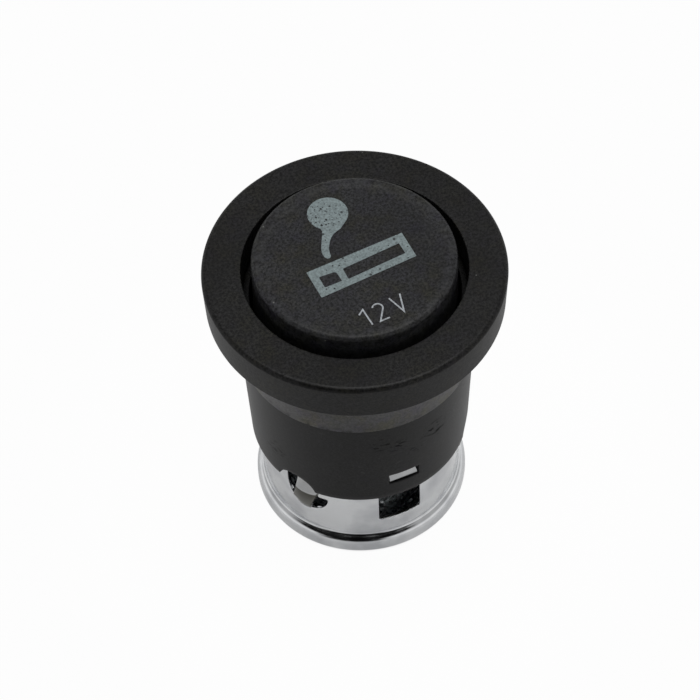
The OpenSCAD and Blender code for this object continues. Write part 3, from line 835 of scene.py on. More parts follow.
def ring_finish(colours, underside, foot):
    """Matte grained plastic of the ring, smoother on the collar under it, whose lighter colour is painted
    sheen.
    """
    material, tree, shader = new_finish("Grained ring plastic", IOR=1.45, Specular_IOR_Level=0.19)
    height = height_in(tree, place_in(tree))
    collar = spread(tree, height, underside + 0.1 * MM, underside - 0.1 * MM)
    depth = spread(tree, collar, 0.0, 1.0, 1.6e-5, 3e-6)
    grain = grouped(tree, "grain", Scale=3600.0, Depth=depth)
    # The collar's lighter colour is painted sheen, standing in for the bright floor that it mirrors; its
    # smoother finish is real.
    base = mixed(tree, collar, opaque(colours.ring), opaque(colours.collar))
    plastic = grouped(
        tree, "cast", Base=base, Warm=opaque(colours.warm), Cool=opaque(colours.cool), Amount=0.8,
        Tone=grain["Tone"], Contrast=spread(tree, collar, 0.0, 1.0, 1.0, 0.22),
    )
    dust = grouped(tree, "specks", Scale=1400.0, Size=0.13, Share=0.03)["Mask"]
    colour = mixed(tree, times(tree, dust, 0.4), plastic["Colour"], (0.2, 0.2, 0.19, 1))
    # Darker in a ragged band along the collar's lower edge, where it meets the barrel.
    low_edge = spread(tree, height, foot + 0.9 * MM, foot + 0.1 * MM)
    ragged = spread(tree, noise(tree, 900.0, 4.0, 0.7), 0.5, 0.6)
    ragged_dark_foot = times(tree, times(tree, low_edge, ragged), 0.85)
    colour = mixed(tree, ragged_dark_foot, colour, grey(0.006))
    rub = grouped(tree, "wear", Scale=500.0, Share=0.5)["Mask"]
    rough = minus(tree, spread(tree, collar, 0.0, 1.0, 0.42, 0.34), times(tree, rub, 0.1))
    lay_on(tree, shader, colour, rough, grain["Normal"])
    return material


# Scuffed spots of the barrel: direction in degrees, height and reach in millimetres
SCUFFS = [
    (-102, 19.2, 1.6), (-94, 18.2, 1.2), (-73, 18.0, 1.8), (-84, 16.4, 0.9), (48, 17.5, 2.0),
    (160, 15.5, 1.8),
]


def barrel_finish(colours, wall_r):
    """Satin plastic of the barrel, scuffed where it slides into its socket."""
    material, tree, shader = new_finish("Satin barrel plastic", IOR=1.45, Specular_IOR_Level=0.16)
    grain = grouped(tree, "grain", Scale=4200.0, Depth=1e-5)
    plastic = grouped(
        tree, "cast", Base=opaque(colours.barrel), Warm=opaque(colours.warm), Cool=opaque(colours.cool),
        Amount=0.8, Tone=grain["Tone"], Contrast=1.0,
    )
    rub = grouped(tree, "wear", Scale=420.0, Share=0.8)["Mask"]
    colour = mixed(tree, times(tree, rub, 0.35), plastic["Colour"], grey(0.05))
    place = place_in(tree)
    squeezed = add_node(tree, "ShaderNodeMapping", {"Vector": place, "Scale": (1, 1, 2.6)}).outputs[0]
    ragged = spread(tree, noise(tree, 1000.0, 5.0, 0.75, squeezed), 0.53, 0.59)
    patch = spread(tree, noise(tree, 190.0, 2.0, 0.5, place), 0.68, 0.74)
    for turn, high, reach in SCUFFS:
        spot = (wall_r * cos(radians(turn)), wall_r * sin(radians(turn)), high * MM)
        gap = add_node(tree, "ShaderNodeVectorMath", {0: place, 1: spot}, operation="DISTANCE")
        near = spread(tree, gap.outputs["Value"], reach * MM, 0.35 * reach * MM)
        patch = calc(tree, "MAXIMUM", patch, near)
    scuff = times(tree, ragged, patch)
    colour = mixed(tree, times(tree, scuff, 0.8), colour, grey(0.002))
    rough = minus(tree, 0.38, times(tree, rub, 0.1))
    rough = plus(tree, rough, times(tree, scuff, 0.5))
    lay_on(tree, shader, colour, rough, grain["Normal"])
    return material


def button_finish(colours, rim_r):
    """Grained plastic of the button, with a blotched, handled rim."""
    material, tree, shader = new_finish("Grained button plastic", IOR=1.45, Specular_IOR_Level=0.2)
    grain = grouped(tree, "grain", Scale=3700.0, Depth=1.4e-5)
    plastic = grouped(
        tree, "cast", Base=opaque(colours.button), Warm=opaque(colours.warm), Cool=opaque(colours.cool),
        Amount=0.9, Tone=grain["Tone"], Contrast=0.85,
    )
    dust = grouped(tree, "specks", Scale=1100.0, Size=0.12, Share=0.05)["Mask"]
    colour = mixed(tree, times(tree, dust, 0.45), plastic["Colour"], (0.24, 0.24, 0.22, 1))
    place = place_in(tree)
    rim = spread(tree, from_axis(tree, place), rim_r - 0.3 * MM, rim_r + 0.5 * MM)
    blotch = spread(tree, noise(tree, 1300.0, 4.0, 0.7, place), 0.46, 0.66)
    handled = times(tree, times(tree, rim, blotch), 0.35)
    colour = mixed(tree, handled, colour, (0.05, 0.051, 0.052, 1))
    rub = grouped(tree, "wear", Scale=520.0, Share=0.6)["Mask"]
    rough = minus(tree, 0.44, times(tree, rub, 0.12))
    lay_on(tree, shader, colour, rough, grain["Normal"])
    return material


def ink_finish(name, ink, plastic, pinholes):
    """Screen-printed ink, with pinholes that show the plastic."""
    material, tree, shader = new_finish(name, IOR=1.45, Specular_IOR_Level=0.25)
    tone = noise(tree, 4200.0, 3.0, 0.7)
    shade = spread(tree, tone, 0.36, 0.64, 0.72, 1.22)
    colour = mixed(tree, 1.0, opaque(ink), grey_of(tree, shade), "MULTIPLY")
    mask = grouped(tree, "specks", Scale=1900.0, Size=0.34, Share=pinholes)["Mask"]
    small = grouped(tree, "specks", Scale=3800.0, Size=0.36, Share=pinholes)["Mask"]
    mask = calc(tree, "MAXIMUM", mask, times(tree, small, 0.6))
    colour = mixed(tree, times(tree, mask, 0.85), colour, opaque(plastic))
    lay_on(tree, shader, colour, spread(tree, tone, 0.3, 0.7, 0.72, 0.58), bumped(tree, 3e-6, tone))
    return material


def chrome_finish(colours, neck, crest):
    """Bright plating over pressed sheet, rippled and hazed, with broad clouds of painted reflection, and
    darker, olive and duller under the bows' crests.
    """
    material, tree, shader = new_finish("Chromed sheet", Metallic=1.0)
    place = place_in(tree)
    ripple = noise(tree, 330.0, 2.0, 0.5, place)
    peel = noise(tree, 2400.0, 2.0, 0.5, place)
    height = plus(tree, times(tree, ripple, 0.8), times(tree, peel, 0.12))
    bump = bumped(tree, 1.2e-5, height)
    haze = spread(tree, noise(tree, 700.0, 4.0, 0.65, place), 0.4, 0.75)
    # Painted reflection: broad darker clouds in the plating's colour stand in for the mottled surroundings
    # that the chrome mirrors.
    cloud = spread(tree, noise(tree, 210.0, 3.0, 0.55, place), 0.38, 0.6)
    rub = grouped(tree, "wear", Scale=700.0, Share=0.7)["Mask"]
    rough = plus(tree, spread(tree, haze, 0.0, 1.0, 0.12, 0.23), times(tree, rub, 0.12))
    pits = grouped(tree, "specks", Scale=650.0, Size=0.1, Share=0.03)["Mask"]
    colour = mixed(tree, cloud, (0.50, 0.51, 0.53, 1), opaque(colours.chrome))
    colour = mixed(tree, times(tree, haze, 0.25), colour, (0.62, 0.63, 0.64, 1))
    colour = mixed(tree, times(tree, pits, 0.7), colour, (0.16, 0.15, 0.14, 1))
    # Under the bows' crests the plating is darker, olive and duller, darkest where the bows stand out most.
    radius, high = from_axis(tree, place), height_in(tree, place)
    proud = spread(tree, radius, neck + 0.02 * MM, neck + 0.14 * MM)
    under = spread(tree, high, crest + 0.05 * MM, crest - 0.07 * MM, 0.38, 1.0)
    over_bead = spread(tree, high, 0.45 * crest, 0.5 * crest)
    worn = times(tree, times(tree, proud, under), over_bead)
    proudest = spread(tree, radius, neck + 0.2 * MM, neck + 0.62 * MM)
    olive_tone = mixed(tree, proudest, (0.14, 0.136, 0.113, 1), (0.060, 0.057, 0.046, 1))
    colour = mixed(tree, worn, colour, olive_tone)
    rough = plus(tree, rough, times(tree, worn, 0.16))
    lay_on(tree, shader, colour, rough, bump)
    return material


def turned_finish(name, colour, stain, rough, depth):
    """Turned or stamped metal with fine rings, stains and rub marks."""
    material, tree, shader = new_finish(name, Metallic=1.0)
    rings = grouped(tree, "turning", Pitch=0.00012, Depth=depth)
    patch = spread(tree, noise(tree, 800.0, 4.0, 0.6), 0.45, 0.75)
    shade = mixed(tree, times(tree, patch, 0.5), opaque(colour), stain)
    rub = grouped(tree, "wear", Scale=800.0, Share=0.6)["Mask"]
    uneven = plus(tree, times(tree, rings["Tone"], 0.08), times(tree, patch, 0.15))
    uneven = minus(tree, uneven, times(tree, rub, 0.06))
    lay_on(tree, shader, shade, plus(tree, rough, uneven), rings["Normal"])
    return material


def cup_finish(colours, foot):
    """Spangled steel of the heating cup, turned near black towards its top by painted shade."""
    material, tree, shader = new_finish("Spangled cup steel with painted shade", IOR=1.45, Specular_IOR_Level=0.06)
    place = place_in(tree)
    flakes = add_node(tree, "ShaderNodeTexVoronoi", {"Vector": place, "Scale": 3400.0})
    glint = add_node(tree, "ShaderNodeSeparateColor", {0: flakes.outputs["Color"]}).outputs
    lean = vector_step(tree, "SUBTRACT", flakes.outputs["Color"], (0.5, 0.5, 0.5))
    facing = add_node(tree, "ShaderNodeNewGeometry").outputs["Normal"]
    leaned = vector_step(tree, "MULTIPLY_ADD", lean, (1.6, 1.6, 3.0), facing)
    facet = vector_step(tree, "NORMALIZE", leaned)
    # Painted shade: the cup goes near black towards its top, where the barrel shades it, and its flakes glint
    # only below that.
    top_shade = spread(tree, height_in(tree, place), foot + 2.4 * MM, foot + 3.4 * MM)
    stained = mixed(tree, top_shade, opaque(colours.cup), (0.012, 0.011, 0.012, 1))
    cloud = spread(tree, noise(tree, 700.0, 4.0, 0.7, place), 0.4, 0.7)
    stained = mixed(tree, times(tree, cloud, 0.5), stained, (0.12, 0.10, 0.085, 1))
    bright = spread(tree, glint[0], 0.55, 0.8)
    clean = times(tree, bright, spread(tree, top_shade, 0.0, 1.0, 0.95, 0.04))
    tree.links.new(clean, shader["Metallic"])
    colour = mixed(tree, clean, stained, (0.86, 0.9, 0.92, 1))
    lay_on(tree, shader, colour, spread(tree, glint[1], 0.0, 1.0, 0.22, 0.5), facet)
    return material


def ribbon_finish(colours):
    """Oxidised resistance ribbon with a scaly skin."""
    material, tree, shader = new_finish("Oxidised heating ribbon", Metallic=0.85)
    scale = spread(tree, noise(tree, 2600.0, 5.0, 0.7), 0.35, 0.7)
    colour = mixed(tree, scale, opaque(colours.ribbon), (0.07, 0.06, 0.06, 1))
    lay_on(tree, shader, colour, spread(tree, scale, 0.0, 1.0, 0.38, 0.7), bumped(tree, 1.2e-5, scale))
    return material


def ceramic_finish(colours):
    """Pressed steatite with a dry, slightly sooty skin."""
    material, tree, shader = new_finish("Pressed steatite", IOR=1.6)
    soot = spread(tree, noise(tree, 450.0, 4.0, 0.65), 0.45, 0.8)
    pores = grouped(tree, "specks", Scale=3200.0, Size=0.25, Share=0.12)["Mask"]
    colour = mixed(tree, times(tree, soot, 0.45), opaque(colours.ceramic), (0.33, 0.27, 0.2, 1))
    colour = mixed(tree, times(tree, pores, 0.5), colour, (0.2, 0.17, 0.13, 1))
    bump = bumped(tree, 1e-5, noise(tree, 3500.0, 3.0, 0.6))
    lay_on(tree, shader, colour, spread(tree, soot, 0.0, 1.0, 0.55, 0.8), bump)
    return material


def mica_finish(colours):
    """Pressed mica: overlapping flakes with a pearly sheen."""
    material, tree, shader = new_finish("Pressed mica", Coat_Weight=0.4, Coat_Roughness=0.2)
    flakes = add_node(tree, "ShaderNodeTexVoronoi", {"Vector": place_in(tree), "Scale": 900.0})
    shade = add_node(tree, "ShaderNodeSeparateColor", {0: flakes.outputs["Color"]}).outputs[0]
    colour = mixed(tree, shade, opaque(colours.mica), (0.55, 0.49, 0.38, 1))
    lay_on(tree, shader, colour, spread(tree, shade, 0.0, 1.0, 0.25, 0.55), bumped(tree, 8e-6, shade))
    return material


def dull_finish(name, colour, deep, rough, scale):
    """A dull moulded material with a cloudy tone and a fine grain."""
    material, tree, shader = new_finish(name, IOR=1.45)
    grain = grouped(tree, "grain", Scale=scale, Depth=6e-6)
    cloud = spread(tree, noise(tree, 500.0, 3.0, 0.6), 0.4, 0.7)
    clouded = mixed(tree, times(tree, cloud, 0.6), opaque(colour), deep)
    uneven = spread(tree, grain["Tone"], 0.0, 1.0, rough - 0.08, rough + 0.08)
    lay_on(tree, shader, clouded, uneven, grain["Normal"])
    return material


# Pieces


class LighterPiece:
    """What the operators share."""

    bl_options = {"REGISTER", "UNDO"}

    @property
    def colours(self):
        """The colours of the finishes."""
        return bpy.context.scene.lighter_colours


class LIGHTER_OT_ring(LighterPiece, bpy.types.Operator):
    """Turn the wide ring with its collar, with rounded edges"""

    bl_idname = "lighter.ring"
    bl_label = "Ring"

    def execute(self, context):
        size = context.scene.lighter_ring
        top, foot = top_of("bezel_ring"), foot_of("bezel_ring")
        underside = top - size.height
        bm = bmesh.new()
        lathe(bm, fillet([
            (size.hole, top, size.hole_edge),
            (size.radius, top, size.edge),
            (size.radius - size.taper, underside, size.low_edge),
            (size.collar, underside, 0.15 * MM),
            (size.collar_low, foot, 0.05 * MM),
            (size.hole, foot, 0.1 * MM),
        ], steps=8))
        ring = whole(bm, "ring")
        dress(ring, ring_finish(self.colours, underside, foot), "sleeve", ["bezel_ring"])
        return {"FINISHED"}


class LIGHTER_OT_barrel(LighterPiece, bpy.types.Operator):
    """Build the barrel with its windows, arches and guide ribs"""

    bl_idname = "lighter.barrel"
    bl_label = "Barrel"

    def execute(self, context):
        size = context.scene.lighter_barrel
        foot, top = foot_of("barrel"), top_of("barrel")
        collar, seat_top = foot_of("bezel_ring"), top_of("shell")
        lip_top = seat_top + size.lip_thickness
        middle = FIRST_TAB + HALF_STEP / 2

        def outer(u, v):
            """A point of the barrel's outside."""
            r = size.low_radius + (size.radius - size.low_radius) * (v - foot) / (collar - foot)
            a = middle + u / size.low_radius
            return r * cos(a), r * sin(a), v

        def inner(u, v):
            """A point of the bore that holds the shell."""
            a = middle + u / size.low_radius
            return size.seat * cos(a), size.seat * sin(a), v

        width = 2 * HALF_STEP * size.low_radius
        tab_u, bow_u = -width / 4, width / 4
        low = seat_top - size.window_drop
        window = even(fillet([
            (tab_u - size.window_width / 2, low, 0.12 * MM),
            (tab_u + size.window_width / 2, low, 0.12 * MM),
            (tab_u + size.window_width / 2, low + size.window_height, 0.12 * MM),
            (tab_u - size.window_width / 2, low + size.window_height, 0.12 * MM),
        ], steps=4), 0.25 * MM)
        arch_r = ((size.arch_width / 2) ** 2 + size.arch_height ** 2) / (2 * size.arch_height)
        half = degrees(asin(min(1.0, size.arch_width / 2 / arch_r)))
        arch = arc((bow_u, foot + size.arch_height - arch_r), arch_r, 90 - half, 90 + half, 20)
        lower_edge = even([(width / 2, foot)] + arch + [(-width / 2, foot)], 0.25 * MM, False)

        bm = bmesh.new()
        pierced_wall(
            bm, outer, inner, width, foot, seat_top, [window], lower_edge, size.edge, [],
            (0.6 * MM, 0.25 * MM),
        )
        at_every_station(bm, 0)
        join_r = hypot(*outer(0, seat_top)[:2])
        side = even([(join_r, seat_top), (size.radius, collar)], 1.0 * MM, False)
        lathe(bm, side + fillet([
            (size.radius, collar, 0),
            (size.spigot, collar, 0.05 * MM),
            (size.spigot, top, 0.1 * MM),
            (size.bore, top, 0.1 * MM),
            (size.bore, lip_top, 0.1 * MM),
            (size.lip, lip_top, 0.1 * MM),
            (size.lip, seat_top, 0.05 * MM),
            (size.seat, seat_top, 0),
        ], closed=False, steps=4)[1:], closed=False)
        barrel = whole(bm, "barrel_moulding")
        finish = barrel_finish(self.colours, (size.radius + size.low_radius) / 2)
        dress(barrel, finish, "sleeve", ["barrel"])

        ribs = guide_ribs(size, lip_top, foot_of("button_cap") + size.rib_engage)
        dress(ribs, finish, "sleeve")
        return {"FINISHED"}


# A spring bow, in millimetres from the lowest point of its slots and from the arch's middle:
# its height with its left and right edge, and the outer side of each slot
BOW_SIDES = [
    (0.15, -0.15, 0.5), (0.4, -0.55, 0.98), (0.9, -0.86, 1.1), (1.4, -0.97, 1.22), (2.3, -0.72, 1.53),
    (3.2, -0.5, 1.78), (4.2, -0.4, 1.9), (5.0, -0.45, 1.9), (5.6, -0.75, 1.9), (6.4, -1.1, 1.9),
]
LEFT_SLOT = [(-1.9, 4.05), (-1.9, 3.0), (-1.77, 2.2), (-1.5, 1.55), (-1.0, 1.05)]
RIGHT_SLOT = [(1.0, 0.48), (1.5, 0.55), (2.05, 0.88), (2.5, 1.4), (2.75, 2.0), (2.8, 2.45)]
# The share of the bow's length at which its crest lies, and by which its sides are lower
BOW_CREST = 0.69
BOW_ROUNDING = 0.28


class LIGHTER_OT_shell(LighterPiece, bpy.types.Operator):
    """Press the metal shell: bead, neck, spring well, latch tabs and spring bows"""

    bl_idname = "lighter.shell"
    bl_label = "Shell"

    def execute(self, context):
        size = context.scene.lighter_shell
        barrel = context.scene.lighter_barrel
        top, sheet = top_of("shell"), size.sheet
        curl_r, hollow_r = size.bead - size.curl, size.neck + size.hollow
        curl_top = size.curl + size.land
        rise = sqrt((size.curl + size.hollow) ** 2 - (hollow_r - curl_r) ** 2)
        neck_foot = curl_top + rise
        meet = degrees(atan2(rise, hollow_r - curl_r))
        neck_top = top - size.top_edge

        bm = bmesh.new()
        self.neck(bm, size, barrel, neck_foot, neck_top, top)
        at_every_station(bm, 0)
        lathe(bm, (
            arc((hollow_r, neck_foot), size.hollow, 180, 180 + meet, 6)
            + arc((curl_r, curl_top), size.curl, meet, 0, 12)[1:]
            + arc((curl_r, size.curl), size.curl, 0, -90, 16)
            + fillet([
                (curl_r, 0, 0),
                (size.mouth, 0, 0.15 * MM),
                (size.mouth, sheet, 0.15 * MM),
                (curl_r, sheet, 0),
            ], closed=False)[1:]
            + arc((curl_r, size.curl), size.curl - sheet, -90, 0, 10)[1:]
            + arc((curl_r, curl_top), size.curl - sheet, 0, meet, 8)
            + arc((hollow_r, neck_foot), size.hollow + sheet, 180 + meet, 180, 8)[1:]
        ), closed=False)
        edge_r = size.neck - size.top_edge
        bend, wide = size.well_bend, size.well_bend + sheet
        plate_z, floor = top - sheet, top - size.well_depth
        bend_r, foot_r = size.well + sheet + bend, size.well - bend
        high, deep = plate_z - bend, floor + bend
        lathe(bm, (
            arc((edge_r, neck_top), size.top_edge, 0, 90, 12)
            + arc((bend_r, high), wide, 90, 180, 8)
            + arc((foot_r, deep), bend, 0, -90, 6)
            + fillet([
                (foot_r, floor, 0),
                (size.well_hole, floor, 0.1 * MM),
                (size.well_hole, floor - sheet, 0.1 * MM),
                (foot_r, floor - sheet, 0),
            ], closed=False)[1:]
            + arc((foot_r, deep), wide, -90, 0, 8)[1:]
            + arc((bend_r, high), bend, 180, 90, 6)
            + arc((edge_r, neck_top), size.top_edge - sheet, 90, 0, 8)
        ), closed=False)
        shell = whole(bm, "shell_pressing")
        crest = foot_of("barrel") - size.slot_drop + BOW_CREST * size.bow_length
        finish = chrome_finish(self.colours, size.neck, crest)
        dress(shell, finish, "sleeve", ["shell"])
        return {"FINISHED"}

    def neck(self, bm, size, barrel, foot, head, top):
        """One station's share of the neck, with a tab in its cut-out and a bow between its slots."""
        width = 2 * HALF_STEP * size.neck
        tab_u, bow_u = -width / 4, width / 4
        middle = FIRST_TAB + HALF_STEP / 2
        bend_z = top - barrel.window_drop + barrel.window_height
        root_z = bend_z + size.tab_root
        free_z = bend_z - barrel.window_height + size.tab_gap
        slot_z = foot_of("barrel") - size.slot_drop
        head_z = slot_z + size.bow_length
        crest_z = slot_z + BOW_CREST * size.bow_length
        left_side = np.array(smooth_line([(up, x) for up, x, _ in BOW_SIDES])) * MM
        right_side = np.array(smooth_line([(up, x) for up, _, x in BOW_SIDES])) * MM
        root = slot_z + BOW_SIDES[0][0] * MM
        left_foot = slot_z + LEFT_SLOT[-1][1] * MM

        def left(v):
            """The bow's left side at a height."""
            return float(np.interp(v - slot_z, left_side[:, 0], left_side[:, 1]))

        def right(v):
            """The bow's right side at a height."""
            return float(np.interp(v - slot_z, right_side[:, 0], right_side[:, 1]))

        def bulge(u, v):
            """How far the bow stands out: a straight ramp down to its crest, and a round ball below."""
            if v > crest_z:
                out = min(1.0, (head_z - v) / (head_z - crest_z - 0.1 * MM))
            else:
                out = 1 - ((crest_z - v) / (crest_z - root)) ** 2
            across = (u - (left(v) + right(v)) / 2) / ((right(v) - left(v)) / 2)
            past = (abs(across) - 1) * (right(v) - left(v)) / 2
            if across < 0:
                cut = eased(v, left_foot, left_foot + 0.5 * MM)
            else:
                cut = eased(v, root, root + 0.35 * MM)
            rounded = 1 - BOW_ROUNDING * min(1.0, abs(across)) ** 2.5
            free = rounded * (1 - eased(past, 0.02 * MM, 0.12 * MM))
            joined = max(0.0, 1 - across * across)
            return size.bow_bulge * out * (cut * free + (1 - cut) * joined)

        def radius_at(u, v):
            """Radius of the neck's outside, with the tab and the bow that stand out from it."""
            raised = 0.0
            if abs(u - tab_u) < size.tab_width and free_z - MM < v < root_z:
                ease = min(1.0, (root_z - v) / (0.3 * MM))
                raised = above((bend_z - v) * tan(size.tab_angle), 0.05 * MM) * ease
                flat = size.neck / cos((u - tab_u) / size.neck) - size.neck
                raised += flat * min(1.0, raised / (0.2 * MM))
                raised *= 1 - eased(abs(u - tab_u) - size.tab_width / 2, 0.02 * MM, 0.2 * MM)
            if abs(u - bow_u) < size.slot_width and root < v < head_z:
                raised = bulge(u - bow_u, v)
            return size.neck + raised

        def outer(u, v):
            """A point of the sheet's outside."""
            r, a = radius_at(u, v), middle + u / size.neck
            return r * cos(a), r * sin(a), v

        def inner(u, v):
            """A point of the sheet's inside."""
            return tuple(surface_point(outer, u, v, -size.sheet))

        cutout = self.cutout(size, tab_u, root_z, free_z)
        slots = [
            even([(bow_u + x, y) for x, y in slot], 0.2 * MM)
            for slot in self.slots(size, slot_z, left_foot, left, right)
        ]
        crease = [
            (bow_u + (-0.6 + 0.125 * k) * MM, crest_z + drop * MM)
            for k in range(21)
            for drop in (-0.07, 0, 0.07)
        ]
        tab = size.tab_width / 2
        fine = [
            (bow_u - 1.3 * MM, slot_z, bow_u + 2.2 * MM, head_z + 0.2 * MM),
            (tab_u - tab, free_z - 0.3 * MM, tab_u + tab, root_z + 0.3 * MM),
        ]
        pierced_wall(
            bm, outer, inner, width, foot, head, [cutout] + slots, None, size.edge, fine,
            (0.5 * MM, 0.11 * MM), crease,
        )

    def cutout(self, size, middle, root_z, free_z):
        """Outline of the cut-out round a latch tab."""
        wide, tab, corner = size.cutout_width / 2, size.tab_width / 2, size.cutout_corner
        foot_z = root_z - size.cutout_height
        return even(fillet([
            (middle - wide, foot_z, corner),
            (middle + wide, foot_z, corner),
            (middle + wide, root_z, corner),
            (middle + tab, root_z, corner),
            (middle + tab, free_z, corner),
            (middle - tab, free_z, corner),
            (middle - tab, root_z, corner),
            (middle - wide, root_z, corner),
        ], steps=4), 0.2 * MM)

    def slots(self, size, slot_z, left_foot, left, right):
        """Outlines of the right and the left slot of a spring bow, about the arch's middle."""
        r, tip = size.slot_width / 2, 0.05 * MM
        high = slot_z + size.slot_length - r
        last = slot_z + size.slot_length - 0.4 * MM
        rows = [left_foot + (last - left_foot) * k / 30 for k in range(31)]
        left_edge = [(left(v), v) for v in rows]
        turn = degrees(asin((left_edge[-1][0] - size.slot_shift) / -r))
        crown = arc((size.slot_shift, high), r, 90 + turn, 180, 8)[1:]
        flank = [(x * MM, slot_z + y * MM) for x, y in smooth_line(LEFT_SLOT, 4)]
        loop = left_edge + crown + flank[:-1]
        corners = {0: tip, len(left_edge) - 1: tip}
        left_slot = fillet([(x, y, corners.get(i, 0)) for i, (x, y) in enumerate(loop)], steps=3)
        step_z = slot_z + size.slot_step
        floor = [(x * MM, slot_z + y * MM) for x, y in smooth_line(RIGHT_SLOT, 4)]
        slit_rows = [step_z + (last - step_z) * k / 16 for k in range(17)]
        slit = [(right(v) + size.slit, v) for v in slit_rows]
        down = [floor[0][1] + (last - floor[0][1]) * k / 30 for k in range(30, 0, -1)]
        loop = floor[:-1] + [(floor[-1][0], step_z)] + slit + [(right(v), v) for v in down]
        step, head_corner = len(floor), len(floor) + len(slit)
        corners = {0: tip, step - 1: 0.15 * MM, step: tip, head_corner - 1: tip, head_corner: tip}
        right_slot = fillet([(x, y, corners.get(i, 0)) for i, (x, y) in enumerate(loop)], steps=3)
        return right_slot, left_slot


class LIGHTER_OT_button(LighterPiece, bpy.types.Operator):
    """Mould the button with its raised rim and its guide grooves"""

    bl_idname = "lighter.button"
    bl_label = "Button"

    def execute(self, context):
        size, barrel = context.scene.lighter_button, context.scene.lighter_barrel
        top, foot = top_of("button_cap"), foot_of("button_cap")
        face, ceiling = top - size.face_depth, top - size.top
        inside = size.radius - size.wall
        rim_r = size.radius - size.edge - size.rim
        bm = bmesh.new()
        lathe(bm, fillet([
            (0, face, 0),
            (rim_r - 0.1 * MM, face, 1.6 * MM),
            (rim_r + 0.6 * size.rim, top, 1.1 * MM),
            (size.radius, top, size.edge),
            (size.radius, foot, 0.2 * MM),
            (inside, foot, 0.15 * MM),
            (inside, ceiling, 0.3 * MM),
            (0, ceiling, 0),
        ], closed=False, steps=8), closed=False)
        bmesh.ops.remove_doubles(bm, verts=bm.verts, dist=1e-7)
        bmesh.ops.recalc_face_normals(bm, faces=bm.faces)
        mesh = bpy.data.meshes.new("button_blank")
        bm.to_mesh(mesh)
        bm.free()
        blank = put_object("button_blank", mesh)

        stroke = max(abs(end) for end in frame["joints"][0]["range_m"])
        groove_top = foot + barrel.rib_engage + stroke + size.groove_gap
        groove_r = barrel.bore - barrel.rib_depth - size.groove_gap
        wide = barrel.rib_width + 2 * size.groove_gap
        cutter = bmesh.new()
        for k in range(STATIONS):
            middle = Vector((groove_r + MM, 0, (foot - MM + groove_top) / 2))
            block(cutter, middle, (2 * MM, wide, groove_top - foot + MM), pi / 2 + 2 * pi * k / STATIONS)
        mesh = bpy.data.meshes.new("groove_cutter")
        cutter.to_mesh(mesh)
        cutter.free()
        tool = put_object("groove_cutter", mesh)
        cut = blank.modifiers.new("Grooves", "BOOLEAN")
        cut.object, cut.operation, cut.solver = tool, "DIFFERENCE", "EXACT"
        make_plain(blank)
        bpy.data.objects.remove(tool)
        bm = bmesh.new()
        bm.from_mesh(blank.data)
        bpy.data.objects.remove(blank)
        button = whole(bm, "button_top")
        dress(button, button_finish(self.colours, rim_r), "plunger", ["button_cap"])
        return {"FINISHED"}


# Print on the button's face, in millimetres from the button's axis: the sign of a cigarette
# with its smoke, and the voltage
CIGARETTE = [(-4.94, -2.81, 0.05), (5.2, -2.72, 0.05), (5.32, 0.41, 0.05), (-4.82, 0.52, 0.05)]
PAPER_WINDOW = [(-1.7, -2.07, 0.1), (4.45, -1.91, 0.06), (4.48, -0.57, 0.06), (-1.6, -0.72, 0.1)]
TIP_WINDOW = [(-4.12, -1.9, 0.08), (-2.33, -1.97, 0.08), (-2.34, -0.7, 0.32), (-4.05, -0.54, 0.1)]
SMOKE_CENTRE = (0.25, 5.87)
SMOKE_RADIUS = 1.96
SMOKE_LEFT = [(-1.2, 4.22), (-1.5, 3.68), (-1.85, 3.1), (-2.16, 2.58), (-2.42, 1.95)]
SMOKE_TIP = [(-2.46, 1.4), (-2.31, 1.07), (-2.08, 1.02), (-1.86, 1.18)]
SMOKE_RIGHT = [
    (-1.78, 1.55), (-1.62, 2.03), (-1.31, 2.52), (-0.98, 2.95), (-0.6, 3.28), (-0.1, 3.51), (0.5, 3.69),
]
LETTER_TOP, LETTER_FOOT, STROKE_WIDTH = -5.92, -7.93, 0.15
# Places where the ink missed: across, up and radius
SMOKE_MISSES = [
    (0.84, 6.56, 0.09), (1.38, 6.31, 0.07), (-0.1, 6.69, 0.1), (0.26, 6.1, 0.07), (-0.21, 5.27, 0.11),
    (-0.52, 4.74, 0.09), (-0.92, 4.88, 0.12), (-0.95, 6.02, 0.1), (-1.22, 5.45, 0.08), (-0.62, 6.9, 0.07),
    (-1.44, 3.1, 0.07), (-0.75, 5.8, 0.06), (0.05, 4.35, 0.06),
]
# A finer scatter of them over the smoke, laid out as a sunflower lays its seeds
DOTS = 34
GOLDEN_ANGLE = 2.4
SMOKE_MISSES += [
    (
        -0.1 + 1.6 * sqrt(k / DOTS) * cos(GOLDEN_ANGLE * k),
        5.85 + 1.7 * sqrt(k / DOTS) * sin(GOLDEN_ANGLE * k),
        0.04 + 0.008 * (k % 4),
    )
    for k in range(3, DOTS)
]
CIGARETTE_MISSES = [
    (-2.27, 0.04, 0.09), (-3.02, -0.13, 0.07), (-1.71, -0.19, 0.08), (-4.09, -2.14, 0.08),
    (-3.39, -2.45, 0.1), (3.47, -0.34, 0.06), (4.41, -2.55, 0.07), (5.0, -1.33, 0.07), (0.6, -2.4, 0.06),
    (1.9, -0.2, 0.05),
]


def smooth_line(points, parts=5):
    """A smooth curve through the points."""
    ends = [points[0]] + points + [points[-1]]
    curve = []
    for a, b, c, d in zip(ends, ends[1:], ends[2:], ends[3:]):
        for k in range(parts):
            t = k / parts
            curve.append(tuple(
                q + 0.5 * t * (r - p + t * (2 * p - 5 * q + 4 * r - s + t * (3 * q - p - 3 * r + s)))
                for p, q, r, s in zip(a, b, c, d)
            ))
    return curve + [points[-1]]


